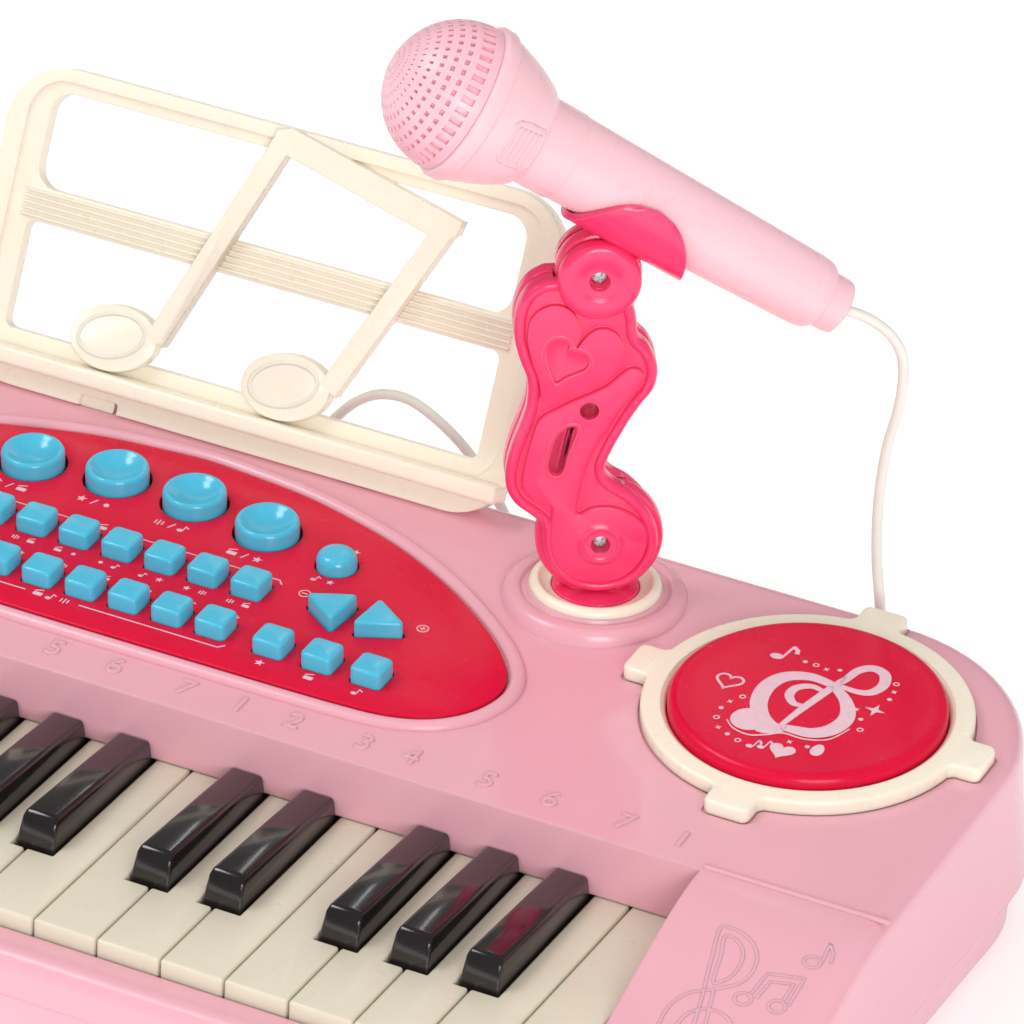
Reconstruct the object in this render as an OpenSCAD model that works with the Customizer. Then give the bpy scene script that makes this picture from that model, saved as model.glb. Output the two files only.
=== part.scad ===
// Toy electronic keyboard: 37 keys, control panel, drum pad, speaker, music stand and a microphone on a jointed arm.
// Millimetres. X to the player's right, Y away from the player, Z up.
// The origin is on the standing surface, under the middle of the case.

/* [Case] */
// Width of the case across the cheeks
body_w = 560; // [552:1:570]
// Depth of the case from the front lip to the back wall
body_d = 246; // [244:1:250]
// Wall thickness of both half shells
wall = 2.4; // [2:0.1:3]
// Height of the joint line between the half shells
seam_z = 17; // [15:0.5:18]
// Slope of the deck, rising to the back
deck_tilt = 3.7; // [3:0.1:4]
// Height of the deck's front edge
deck_front_z = 55.3; // [54:0.1:57]
// Height of the lip in front of the keys
lip_z = 31; // [30:0.5:32]
// Plan radius of the back corners
back_r = 57; // [45:1:62]
// Plan radius of the front corners
front_r = 24; // [15:1:30]

/* [Keys] */
// Distance from one white key to the next
key_pitch = 20; // [19.8:0.1:20.2]
// Height of the white keys' top faces
key_top = 36; // [35:0.5:37]
// Length of a white key that shows in front of the deck
key_len = 91; // [88:1:91]
// Gap between two white keys
key_gap = 0.8; // [0.6:0.1:1.2]
// Length of a black key's cap
black_len = 57; // [50:1:58]
// Width of a black key
black_w = 11; // [10:0.5:11.5]
// Height of a black key's front above the white keys
black_h = 9; // [8:0.5:10]
// Radius of the moulded rail that the keys turn on
rail_r = 2.5; // [2:0.1:2.6]

/* [Control panel] */
// Half width of the control panel
panel_half = 133; // [130:1:135]
// Distance of the panel's near edge behind the deck's front edge
panel_near = 19; // [18:1:21]
// Distance of the panel's far edge behind the deck's front edge
panel_far = 115; // [112:1:116]
// Radius of the panel's bowed far edge
panel_bow = 205; // [190:5:230]
// Height of the panel's face over the deck
panel_rise = 1.2; // [0.8:0.1:1.6]

/* [Drum pad and speaker] */
// Distance of the two round fittings from the middle plane
round_x = 215.5; // [214:0.5:217]
// Distance of the two round fittings behind the deck's front edge
round_y = 78.2; // [76:0.2:79]
// Outer radius of the cream rings
ring_r = 48; // [46:0.5:49]
// Radius of the drum pad
pad_r = 40; // [38:0.5:40.5]

/* [Music stand] */
// Half width of the music stand
stand_half = 94.5; // [90:0.5:96]
// Height of the music stand along its own slope
stand_h = 96; // [90:1:98]
// Lean of the music stand from the vertical
stand_lean = 23.3; // [20:0.1:26]

/* [Microphone arm] */
// Direction of the arm's plane, turned from the X axis
arm_turn = 30; // [25:1:35]
// Height of the lower pivot
pivot_low_z = 83.2; // [83:0.1:84]
// Height of the upper pivot
pivot_top_z = 170; // [169:0.5:171]
// Sideways offset of the upper pivot along the arm's plane
pivot_top_x = -5; // [-6:0.5:-4]
// Thickness of each half of the arm
arm_half_t = 7.5; // [7:0.1:8]
// Slope of the microphone below the level
mic_tilt = 30; // [28:1:32]
// Radius of the microphone's dome
dome_r = 22.3; // [21.5:0.1:23]
// Diameter of the microphone's cable
cable_d = 3.2; // [3:0.1:3.4]

/* [Hidden] */
WHITE_KEYS = 22;
BLACK_KEYS = 15;
function numbered(stem, n) = [for (i = [1 : n]) str(stem, i < 10 ? "0" : "", i)];
FIXED = ["upper_shell", "lower_shell", "control_panel", "drum_buttons", "function_buttons", "drum_pad",
    "drum_ring", "speaker_grille", "speaker", "music_stand", "arm_collar", "arm_foot", "arm_front", "arm_back",
    "arm_screws", "mic_clip", "mic_body", "mic_grille", "mic_cable", "mic_plug", "battery_door",
    "circuit_board", "case_screws"];

// Case
half_w = body_w / 2;
half_d = body_d / 2;
wall_y = -18.5;
well_half = WHITE_KEYS * key_pitch / 2 + 0.5;
key_front = wall_y - key_len;
lip_back = key_front - 1;
deck_y = -15;
slope_y = -105;
floor_z = 2;
floor_t = 2.4;
shell_gap = 0.6;
function deck_z(y) = deck_front_z + (y - deck_y) * tan(deck_tilt);
function smooth(t) = t * t * (3 - 2 * t);
SLOPE_STEPS = 12;
cheek_curve = [for (i = [0 : SLOPE_STEPS]) let (t = i / SLOPE_STEPS)
    [slope_y + t * (deck_y - slope_y), lip_z + (deck_front_z - lip_z) * smooth(t)]];
posts = [[266, -60], [266, 14], [186, 110], [140, 112]];
post_r = 3.6;
post_foot_z = 6.4;
screw_r = 1.3;
feet = [[-248, -92], [248, -92], [-236, 86], [236, 86], [0, 0]];
jack_x = 8;
jack_z = 48;

// Keys
tail_w = 7;
cap_gap = 1;
cap_z = 26;
rail_y = 25;
rail_z = 26;
rail_gap = 0.08;
rail_web = 2;
white_dome_y = -90;
black_dome_y = -46;
dome_top = 16;
white_drop = 4.1;
black_drop = 2.6;
BLACK_AFTER = [1, 2, 4, 5, 6];
BLACK_SHIFT = [-1.5, 1.5, -1.8, 0, 1.8];
function white_x(i) = (i - (WHITE_KEYS + 1) / 2) * key_pitch;
function black_x(k) = let (o = floor((k - 1) / 5), b = (k - 1) % 5)
    (7 * o + BLACK_AFTER[b] - WHITE_KEYS / 2) * key_pitch + BLACK_SHIFT[b];

// Panel and buttons, in the deck's own plane
big_r = 10;
BIG_BUTTONS = [[-45, 88.5], [-18.3, 92.5], [8.3, 92], [35, 88]];
ROW_FAR = [for (i = [0 : 7]) [-55.5 + i * 14.4, 59]];
ROW_NEAR = [for (i = [0 : 7]) [-54.8 + i * 14.4, 36]];
RECORD_ROW = [for (i = [0 : 2]) [65.4 + i * 16, 35.2]];
VOLUME_PAIR = [[72.3, 58.2], [87.5, 58.7]];
LEFT_COLUMN = [for (i = [0 : 2]) [-97.4 + i * 16, 35.2]];
LEFT_PAIR = [[-87.5, 58.2], [-72.3, 58.7]];
SMALL_ROUND = [[61.4, 82], [-70, 82]];
square_w = 9.8;
round_r = 6.2;
tri_side = 15;
tri_turn = 25;
button_rise = 4;
button_gap = 0.4;
web_t = 1.5;
web_z = -6.8;
big_rise = 5.5;
dish_r = 24;
dish_up = 22.6;

// Drum pad
pad_gap = 0.6;
lug_w = 13.6;
ring_h = 3.5;
pad_h = 7.2;

// Arm and microphone
arm_x = 134;
arm_y = 91;
boss_r = 26.5;
boss_z = 65;
foot_r = 13;
collar_r = 19.4;
disc_low_r = 18.7;
disc_top_r = 12.5;
disc_t = 6;
neck_t = 5;
side_gap = 0.3;
run_gap = 0.08;
mic_x = -45.6;
mic_z = 222.8;
rim_u = -0.8;
rim_r = 23.6;
dome_u = -1.5;
dome_wall = 2;
cable_board = [60, 80];
clip_u = 62;
clip_len = 39;
saddle_r = 13.2;

// Cable route: out of the microphone and down behind the case to the coil, then from the coil over a hump to the jack
ROUTE_DOWN = [[191.2, 124, 158.35], [198, 128, 155.3], [204, 131.8, 149.5], [207.2, 134.3, 141], [207, 135, 127],
    [204, 135, 110], [203, 135, 92], [204, 135, 74], [206.5, 135, 57], [207.5, 136, 40], [207, 138, 24],
    [204, 140.5, 10.5], [197, 141.5, 3.6], [187, 140.3, 1.8], [176, 138.6, 1.7], [163, 137.9, 1.7],
    [150, 137.8, 1.7]];
ROUTE_UP = [[150, 137.8, 4.9], [138, 138.2, 4.4], [126, 140, 2.3], [113, 143.5, 1.7], [102, 147.5, 3.5],
    [92, 151, 11], [84, 153.5, 22], [76, 155.5, 35], [68, 156.5, 47], [59, 157, 57], [49, 157.5, 64],
    [38, 158.5, 68], [27, 160.5, 66], [18, 162, 60], [12, 161.5, 53.5], [8.6, 158, 49], [8, 152.1, 48]];
coil_x = 150;
coil_y = 160;
coil_in = 12.3;
coil_out = 23.9;
coil_h = 6.6;
CABLE_STEPS = 2;
CABLE_SIDES = 8;

// Plan outline of the case, drawn in by t
module plan(t = 0) {
    rb = back_r - t;
    rf = front_r - t;
    w = half_w - t;
    d = half_d - t;
    translate([-w, -d + rf]) square([2 * w, 2 * d - rf - rb]);
    translate([-w + rb, d - rb - 1]) square([2 * (w - rb), rb + 1]);
    translate([-w + rf, -d]) square([2 * (w - rf), rf + 1]);
    for (s = [-1, 1]) {
        translate([s * (w - rb), d - rb]) circle(r = rb, $fn = 96);
        translate([s * (w - rf), -d + rf]) circle(r = rf, $fn = 64);
    }
}

// Side profile of the upper shell, lowered and drawn in by t
module side_profile(t = 0) {
    polygon(concat([[-half_d + t, 0], [-half_d + t, lip_z - t]],
        [for (p = cheek_curve) [p[0], p[1] - t]],
        [[half_d - t, deck_z(half_d) - t], [half_d - t, 0]]));
}

module case_form(t, from_z) {
    intersection() {
        translate([0, 0, from_z]) linear_extrude(100) plan(t);
        rotate([90, 0, 90]) linear_extrude(body_w + 2, center = true) side_profile(t);
    }
}

module on_deck() {
    translate([0, deck_y, deck_front_z]) rotate([deck_tilt, 0, 0]) children();
}

module slab(low, high) {
    translate(low) cube(high - low);
}

// A cylinder along the rail between two X positions
module along_x(r, x0, x1, y, z) {
    translate([x0, y, z]) rotate([0, 90, 0]) cylinder(r = r, h = x1 - x0, $fn = 48);
}

module panel_outline(grow = 0) {
    r = 30;
    offset(r = r + grow, $fn = 96) intersection() {
        translate([-panel_half + r, panel_near + r]) square([2 * (panel_half - r), 100]);
        translate([0, panel_far - panel_bow]) circle(r = panel_bow - r, $fn = 180);
    }
}

module both_sides() {
    children();
    mirror([1, 0, 0]) children();
}

// Upper shell ----------------------------------------------------------------------------------
module upper_cavity() {
    difference() {
        case_form(wall, seam_z - 1);
        slab([-well_half - wall, lip_back - wall, 0], [well_half + wall, wall_y + wall, 90]);
        both_sides() for (p = posts) translate([p[0], p[1], 0]) cylinder(r = post_r, h = 90, $fn = 32);
        translate([arm_x, arm_y, 53]) cylinder(r = boss_r - 3, h = 20, $fn = 96);
    }
}

module deck_openings() {
    on_deck() {
        translate([0, 0, -0.8]) linear_extrude(12) panel_outline(0.2);
        translate([0, 0, -12]) linear_extrude(14) panel_outline(-7);
        both_sides() translate([round_x, round_y, -12]) cylinder(r = pad_r + 2, h = 20, $fn = 96);
    }
    on_stand() both_sides() translate([tab_x - 0.4, -12, -1.9]) cube([tab_w + 0.8, 24, 3.8]);
    translate([arm_x, arm_y, 55.2]) cylinder(r = 17.2, h = 40, $fn = 64);
    translate([arm_x, arm_y, 40]) cylinder(r = 12, h = 40, $fn = 64);
    translate([jack_x, half_d - 6, jack_z]) rotate([-90, 0, 0]) cylinder(r = 4.6, h = 12, $fn = 32);
}

module upper_shell() {
    color("#efb4c3") difference() {
        union() {
            difference() {
                case_form(0, seam_z);
                upper_cavity();
            }
            both_sides() for (p = posts) translate([p[0], p[1], post_foot_z])
                cylinder(r = post_r, h = seam_z - post_foot_z + 8, $fn = 32);
            intersection() {
                translate([arm_x, arm_y, boss_z - 8]) cylinder(r = boss_r, h = 8, $fn = 96);
                translate([arm_x - 40, arm_y - 40, deck_z(arm_y - boss_r) - 2]) cube([80, 80, 20]);
            }
        }
        slab([-well_half, lip_back, 0], [well_half, wall_y, 90]);
        slab([-well_half, wall_y - 1, 0], [well_half, wall_y + wall + 1, key_top + 0.7]);
        deck_openings();
        both_sides() for (p = posts) translate([p[0], p[1], 0]) cylinder(r = screw_r, h = 30, $fn = 24);
    }
}

// Lower shell ----------------------------------------------------------------------------------
bay_x = [-124, -12];
bay_y = [38, 100];
bay_top = 26;
bay_wall = 1.8;
groove = 1.8;
door_gap = 0.3;

module battery_bay_walls() {
    difference() {
        union() {
            slab([bay_x[0] - bay_wall, bay_y[0] - bay_wall, floor_z], [bay_x[1] + bay_wall, bay_y[1] + bay_wall, bay_top]);
            slab([bay_x[0] - groove - 1.8, bay_y[0] - bay_wall, floor_z], [bay_x[1] + groove + 1.8, half_d - 3.4, 6]);
        }
        slab([bay_x[0], bay_y[0], 0], [bay_x[1], bay_y[1], bay_top - bay_wall]);
    }
}

// The room that the battery door slides in, out through the back edge
module door_track() {
    slab([bay_x[0], bay_y[0], 0], [bay_x[1], half_d + 5, 4.3]);
    slab([bay_x[0] - groove, bay_y[0], 2.9], [bay_x[1] + groove, half_d + 5, 4.3]);
}

module lower_shell() {
    t = wall + shell_gap;
    color("#f6c6d2") difference() {
        union() {
            difference() {
                translate([0, 0, floor_z]) linear_extrude(seam_z + 3 - floor_z) plan(t);
                difference() {
                    translate([0, 0, floor_z + floor_t]) linear_extrude(40) plan(t + wall);
                    both_sides() for (p = posts) translate([p[0], p[1], 0]) cylinder(r = 6, h = post_foot_z - 0.2, $fn = 32);
                }
                slab([bay_x[0], bay_y[0], 0], [bay_x[1], bay_y[1], 30]);
            }
            battery_bay_walls();
            slab([-well_half + 1, rail_y - rail_web / 2, floor_z], [well_half - 1, rail_y + rail_web / 2, rail_z]);
            along_x(rail_r, -well_half + 1, well_half - 1, rail_y, rail_z);
            for (f = feet) translate([f[0], f[1], 0]) cylinder(r = 8, h = floor_z + 1, $fn = 48);
        }
        door_track();
        slab([cable_board[0] - 1, rail_y - 4, 11.4], [cable_board[1] + 1, rail_y + 4, 14.2]);
        both_sides() for (p = posts) {
            translate([p[0], p[1], -1]) cylinder(r = 3, h = 4.8, $fn = 32);
            translate([p[0], p[1], -1]) cylinder(r = screw_r + 0.3, h = 12, $fn = 24);
        }
    }
}

module battery_door() {
    x0 = bay_x[0] + door_gap;
    x1 = bay_x[1] - door_gap;
    y0 = bay_y[0] + door_gap;
    color("#f6c6d2") difference() {
        union() {
            slab([x0, y0, floor_z], [x1, bay_y[1], 4]);
            slab([x0 - groove + 0.1, y0, 3.2], [x1 + groove - 0.1, bay_y[1], 4]);
        }
        for (i = [0 : 5]) slab([x0 + 30, bay_y[1] - 10 - i * 2.6, 0], [x1 - 30, bay_y[1] - 8.8 - i * 2.6, 2.6]);
    }
}

module one_screw(head_r, head_h, shank_r, length) {
    difference() {
        union() {
            cylinder(r = head_r, h = head_h, $fn = 32);
            cylinder(r = shank_r, h = length, $fn = 24);
        }
        for (a = [0, 90]) rotate([0, 0, a]) translate([-head_r * 0.62, -0.35, -1]) cube([head_r * 1.24, 0.7, 1.8]);
    }
}

module case_screws() {
    color("#b9bcc2") both_sides() for (p = posts) translate([p[0], p[1], 2.2])
        one_screw(2.8, 1.5, screw_r - 0.05, 14);
}

// Keys -----------------------------------------------------------------------------------------
// The bearing at the back of each key: a block with a slot that snaps over the rail
module key_tail(x, w, front) {
    difference() {
        slab([x - w / 2, front, 29], [x + w / 2, rail_y + 5, 34]);
        slab([x - w, -14, 20], [x + w, rail_y - 6, 30.5]);
    }
    slab([x - w / 2, rail_y - 5, 23], [x + w / 2, rail_y + 5, 31]);
}

module rail_bore(x) {
    along_x(rail_r + rail_gap, x - 10, x + 10, rail_y, rail_z);
    slab([x - 10, rail_y - rail_web / 2 - 0.5, 20], [x + 10, rail_y + rail_web / 2 + 0.5, rail_z]);
}

// A post under a key that stops just short of its contact dome when the key is down
module plunger(x, y, travel) {
    slab([x - 2.5, y - 1.5, dome_top + travel + 0.3], [x + 2.5, y + 1.5, cap_z + 1]);
}

module black_slot(k) {
    x = black_x(k);
    slab([x - black_w / 2 - 0.9, wall_y - cap_gap - black_len - 1.5, 0], [x + black_w / 2 + 0.9, 60, 80]);
}

module white_key(i) {
    x = white_x(i);
    w = key_pitch - key_gap;
    color("#ece4d0") difference() {
        union() {
            difference() {
                slab([x - w / 2, key_front, cap_z], [x + w / 2, wall_y - cap_gap, key_top]);
                slab([x - w / 2 + 1.8, key_front + 2, cap_z - 1], [x + w / 2 - 1.8, wall_y - 4, key_top - 2.2]);
                for (k = [1 : BLACK_KEYS]) black_slot(k);
            }
            slab([x - tail_w / 2 + white_tail_shift(i), key_front + 34, key_top - 7], [x + tail_w / 2 + white_tail_shift(i), wall_y - 2, key_top - 2]);
            key_tail(x + white_tail_shift(i), tail_w, wall_y - 4);
            plunger(x, white_dome_y, white_drop);
            slab([x - 8, white_dome_y - 2, cap_z], [x + 8, white_dome_y + 2, key_top - 1]);
        }
        rail_bore(x);
    }
}

// A white key's tail stands midway between its black neighbours
function shift_of(n) = [-3.6, 0, 3.6, -3.7, -1.1, 1.1, 3.7][n];
function white_tail_shift(i) = i == WHITE_KEYS ? 0 : shift_of((i - 1) % 7);

module black_key(k) {
    x = black_x(k);
    y0 = wall_y - cap_gap - black_len;
    y1 = wall_y - cap_gap;
    half = black_w / 2;
    color("#2b2728") difference() {
        union() {
            translate([x, 0, 0]) rotate([90, 0, 90]) linear_extrude(black_w, center = true)
                polygon([[y0, key_top - 5], [y0 + 0.6, key_top + 1], [y0 + 4, key_top + black_h],
                    [y1, key_top + black_h - 3], [y1, key_top - 5]]);
            slab([x - half + 1.5, y0 + 2, cap_z], [x + half - 1.5, y1 - 2, key_top - 4]);
            key_tail(x, 6, y1 - 6);
            plunger(x, black_dome_y, black_drop);
        }
        rail_bore(x);
    }
}

// Control panel and buttons --------------------------------------------------------------------
module square_button(grow, h) {
    w = square_w + 2 * grow;
    translate([-w / 2, -w / 2, 0]) cube([w, w, h]);
}

module triangle_button(up, grow, h) {
    linear_extrude(h) rotate(tri_turn + (up ? 90 : 270)) circle(r = tri_side / sqrt(3) + 2 * grow, $fn = 3);
}

module small_buttons(grow, h) {
    for (p = concat(ROW_FAR, ROW_NEAR, RECORD_ROW, LEFT_COLUMN)) translate([p[0], p[1], 0]) square_button(grow, h);
    for (p = SMALL_ROUND) translate([p[0], p[1], 0]) cylinder(r = round_r + grow, h = h, $fn = 48);
    for (n = [0, 1]) translate([VOLUME_PAIR[n][0], VOLUME_PAIR[n][1], 0]) triangle_button(n == 1, grow, h);
    for (n = [0, 1]) translate([LEFT_PAIR[n][0], LEFT_PAIR[n][1], 0]) triangle_button(n == 1, grow, h);
}

module big_buttons(grow, h) {
    for (p = BIG_BUTTONS) translate([p[0], p[1], 0]) cylinder(r = big_r + grow, h = h, $fn = 64);
}

module control_panel() {
    color("#e32b4e") on_deck() difference() {
        union() {
            translate([0, 0, -0.8]) linear_extrude(panel_rise + 0.8) panel_outline(0);
            translate([0, 0, -2.6]) linear_extrude(2.2) panel_outline(-7.4);
        }
        translate([0, 0, -4]) small_buttons(button_gap, 10);
        translate([0, 0, -4]) big_buttons(button_gap, 10);
    }
}

module function_buttons() {
    color("#4fb9cf") on_deck() {
        translate([0, 0, web_z]) small_buttons(0, panel_rise + button_rise - 0.8 - web_z);
        difference() {
            translate([-110, 26, web_z]) cube([220, 42, web_t]);
            for (s = [-1, 1]) translate([s * 110, 68, -8]) rotate([0, 0, 45]) cube([24, 24, 10], center = true);
        }
        for (p = SMALL_ROUND) translate([p[0] - 3, 66, web_z]) cube([6, p[1] - 66, web_t]);
    }
}

module drum_buttons() {
    color("#55c2dc") on_deck() {
        difference() {
            translate([0, 0, web_z]) big_buttons(0, panel_rise + big_rise - web_z);
            for (p = BIG_BUTTONS) translate([p[0], p[1], panel_rise + big_rise + dish_up]) sphere(r = dish_r, $fn = 64);
        }
        translate([-50, 84, web_z]) cube([90, 10, web_t]);
    }
}

// Drum pad and speaker -------------------------------------------------------------------------
module lugged_ring(inner) {
    difference() {
        union() {
            rotate_extrude($fn = 96) polygon([[inner, 0], [ring_r, 0], [ring_r, ring_h - 1.2], [ring_r - 1.2, ring_h], [inner, ring_h]]);
            for (a = [0, 90, 180, 270]) rotate([0, 0, a]) {
                translate([ring_r - 3, -lug_w / 2, 0]) cube([6, lug_w, ring_h - 0.6]);
                translate([ring_r + 1, 0, 0]) cylinder(r = lug_w / 2, h = ring_h - 0.6, $fn = 48);
            }
        }
        translate([0, 0, -1]) cylinder(r = inner, h = 10, $fn = 96);
    }
}

module drum_ring() {
    color("#f3e6cb") on_deck() translate([round_x, round_y, 0]) {
        lugged_ring(pad_r + pad_gap);
        difference() {
            translate([0, 0, -3]) cylinder(r = pad_r + 1.9, h = 3.2, $fn = 96);
            translate([0, 0, -4]) cylinder(r = pad_r + pad_gap, h = 6, $fn = 96);
        }
    }
}

module drum_pad() {
    color("#e32b4e") on_deck() translate([round_x, round_y, 0]) {
        rotate_extrude($fn = 96) polygon([[0, 0.2], [pad_r, 0.2], [pad_r, pad_h - 2.2], [pad_r - 0.8, pad_h - 0.8],
            [pad_r - 3, pad_h], [0, pad_h + 0.8]]);
        translate([0, 0, -4.5]) cylinder(r = 30, h = 5, $fn = 64);
    }
}

module speaker_grille() {
    color("#f3e6cb") on_deck() translate([-round_x, round_y, 0]) difference() {
        union() {
            lugged_ring(pad_r);
            translate([0, 0, 0.4]) cylinder(r = pad_r + 1, h = 2.2, $fn = 96);
        }
        for (ring = [1 : 3], a = [0 : 360 / (ring * 8) : 359])
            rotate([0, 0, a]) translate([ring * 10.5, 0, -1]) cylinder(r = 2.6, h = 6, $fn = 24);
    }
}

module speaker() {
    color("#33363c") on_deck() translate([-round_x, round_y, -14]) difference() {
        union() {
            cylinder(r = 13, h = 6, $fn = 48);
            translate([0, 0, 4]) cylinder(r1 = 16, r2 = 38, h = 6, $fn = 64);
            translate([0, 0, 9.5]) cylinder(r = 46, h = 2, $fn = 64);
        }
        translate([0, 0, 6.5]) cylinder(r1 = 10, r2 = 36, h = 5.2, $fn = 64);
    }
}

// Music stand ----------------------------------------------------------------------------------
stand_base = 128.7;
tab_x = 39;
tab_w = 12;

module on_stand() {
    on_deck() translate([0, stand_base, 1.4]) rotate([-deck_tilt - stand_lean, 0, 0]) rotate([90, 0, 0]) children();
}

module rounded_box(x0, y0, x1, y1, r) {
    translate([x0, y0 + r]) square([x1 - x0, y1 - y0 - 2 * r]);
    translate([x0 + r, y0]) square([x1 - x0 - 2 * r, y1 - y0]);
    for (x = [x0 + r, x1 - r], y = [y0 + r, y1 - r]) translate([x, y]) circle(r = r, $fn = 48);
}

module note_head(x) {
    translate([x, 21]) rotate(-18) scale([1, 0.62]) circle(r = 15, $fn = 48);
}

module stand_frame() {
    difference() {
        rounded_box(-stand_half, 0, stand_half, stand_h, 20);
        difference() {
            translate([-stand_half + 14, 14]) square([2 * stand_half - 28, stand_h - 14 - 8]);
            for (s = [-1, 1]) translate([s * (stand_half - 14), stand_h - 8]) rotate(45) square(14, center = true);
        }
    }
    translate([-stand_half, 0]) square([2 * stand_half, 21]);
}

module beamed_notes() {
    for (x = [-42, 17]) note_head(x);
    for (x = [-31, 28]) polygon([[x - 0.5, 22], [x + 5, 19], [x + 29, x < 0 ? 88 : 78], [x + 23.5, x < 0 ? 86 : 76]]);
    polygon([[-2, 84], [-3, 91], [1.5, 92.5], [58, 81], [56, 74]]);
}

module music_stand() {
    color("#f7eccf") on_stand() {
        difference() {
            translate([0, 0, -2.5]) linear_extrude(5) stand_frame();
            translate([-stand_half + 14, 14, -5]) cube([2 * stand_half - 28, 8, 10]);
        }
        translate([-stand_half + 10, 48, -1.5]) cube([2 * stand_half - 20, 10.5, 3]);
        for (i = [0 : 4]) translate([-stand_half + 10, 49 + i * 2, 1]) cube([2 * stand_half - 20, 0.8, 1.2]);
        translate([-stand_half + 3, 3, -2.5]) cube([2 * stand_half - 6, 3, 11]);
        translate([0, 0, 2]) linear_extrude(3.2) beamed_notes();
        both_sides() translate([tab_x, -8, -1.5]) cube([tab_w, 9, 3]);
    }
}

// Microphone arm -------------------------------------------------------------------------------
module at_arm() {
    translate([arm_x, arm_y, 0]) rotate([0, 0, arm_turn]) children();
}

// A disc whose axis is square to the arm's plane, from y0 to y1
module disc(x, z, r, y0, y1) {
    translate([x, y1, z]) rotate([90, 0, 0]) cylinder(r = r, h = y1 - y0, $fn = 64);
}

module arm_outline() {
    offset(r = -4, $fn = 32) offset(r = 4, $fn = 32) {
        translate([0, pivot_low_z]) circle(r = 16.5, $fn = 64);
        hull() {
            translate([-16.5, 104]) circle(r = 12, $fn = 48);
            translate([4.5, 141]) circle(r = 9, $fn = 48);
            translate([-12, 134]) circle(r = 11.5, $fn = 48);
        }
        hull() {
            translate([-16.5, 104]) circle(r = 11, $fn = 48);
            translate([-5, 90]) circle(r = 11, $fn = 48);
        }
        translate([-16, 157.5]) circle(r = 13, $fn = 64);
        translate([-3.5, 152]) circle(r = 11.5, $fn = 64);
        translate([pivot_top_x, pivot_top_z]) circle(r = 10.2, $fn = 64);
    }
}

module arm_half_form(y0, y1) {
    difference() {
        translate([0, y1, 0]) rotate([90, 0, 0]) linear_extrude(y1 - y0) arm_outline();
        disc(0, pivot_low_z, disc_low_r + 0.5, -disc_t / 2 - side_gap, disc_t / 2 + side_gap);
        disc(pivot_top_x, pivot_top_z, disc_top_r + 0.5, -disc_t / 2 - side_gap, disc_t / 2 + side_gap);
        disc(-6.5, 129, 2.8, -20, 20);
    }
}

module arm_front() {
    color("#ff5287") at_arm() difference() {
        arm_half_form(-arm_half_t, -0.05);
        for (p = [[0, pivot_low_z], [pivot_top_x, pivot_top_z]]) {
            disc(p[0], p[1], 2.9, -10, -arm_half_t + 2.2);
            disc(p[0], p[1], 1.6, -10, 0);
        }
        disc(0, pivot_low_z, 7, -10, -arm_half_t + 0.8);
    }
}

module arm_back() {
    color("#ff5287") at_arm() difference() {
        union() {
            arm_half_form(0.05, arm_half_t);
            disc(0, pivot_low_z, 4, -disc_t / 2 - side_gap, 5);
            disc(pivot_top_x, pivot_top_z, 4, -disc_t / 2 - side_gap, 5);
        }
        for (p = [[0, pivot_low_z], [pivot_top_x, pivot_top_z]]) disc(p[0], p[1], 1.3, -10, 4);
    }
}

module arm_screws() {
    color("#b9bcc2") at_arm() for (p = [[0, pivot_low_z], [pivot_top_x, pivot_top_z]])
        translate([p[0], -arm_half_t + 0.8, p[1]]) rotate([-90, 0, 0]) one_screw(2.6, 1.3, 1.25, 9);
}

module arm_foot() {
    color("#ff5287") at_arm() difference() {
        union() {
            disc(0, pivot_low_z, disc_low_r, -disc_t / 2, disc_t / 2);
            translate([0, 0, 58.5]) cylinder(r = foot_r, h = 7.7, $fn = 64);
            translate([0, 0, 55.5]) cylinder(r = foot_r + 3, h = 3.1, $fn = 64);
        }
        disc(0, pivot_low_z, 4 + run_gap, -10, 10);
    }
}

module arm_collar() {
    color("#f3e6cb") translate([arm_x, arm_y, 0]) rotate_extrude($fn = 96)
        polygon([[foot_r + run_gap, 59], [17, 59], [17, boss_z], [collar_r, boss_z], [collar_r, boss_z + 1.6],
            [collar_r - 1, boss_z + 2.4], [17.5, boss_z + 2.4], [15.5, boss_z + 1], [foot_r + run_gap, boss_z + 0.4]]);
}

// Local frame of the microphone: +Z along its axis to the cable end, -X out of the clip
module at_mic() {
    at_arm() translate([mic_x, 0, mic_z]) rotate([0, 90 + mic_tilt, 0]) children();
}

clip_pivot = [
    (pivot_top_x - mic_x) * cos(mic_tilt) + (mic_z - pivot_top_z) * sin(mic_tilt),
    (mic_z - pivot_top_z) * cos(mic_tilt) - (pivot_top_x - mic_x) * sin(mic_tilt)];

module saddle() {
    intersection() {
        difference() {
            translate([0, 0, clip_u - clip_len]) cylinder(r = saddle_r + 2.2, h = clip_len * 2, $fn = 64);
            translate([0, 0, clip_u - clip_len - 1]) cylinder(r = saddle_r, h = clip_len * 2 + 2, $fn = 64);
        }
        translate([saddle_r + 3, 30, clip_u]) rotate([90, 0, 0]) cylinder(r = clip_len / 2, h = 60, $fn = 96);
    }
}

module mic_clip() {
    color("#ff5287") difference() {
        union() {
            at_mic() saddle();
            at_mic() translate([saddle_r + 1, -neck_t / 2, clip_u - 8])
                cube([clip_pivot[1] - saddle_r - 1, neck_t, 16]);
            at_arm() disc(pivot_top_x, pivot_top_z, disc_top_r, -disc_t / 2, disc_t / 2);
        }
        at_arm() disc(pivot_top_x, pivot_top_z, 4 + run_gap, -10, 10);
    }
}

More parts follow.
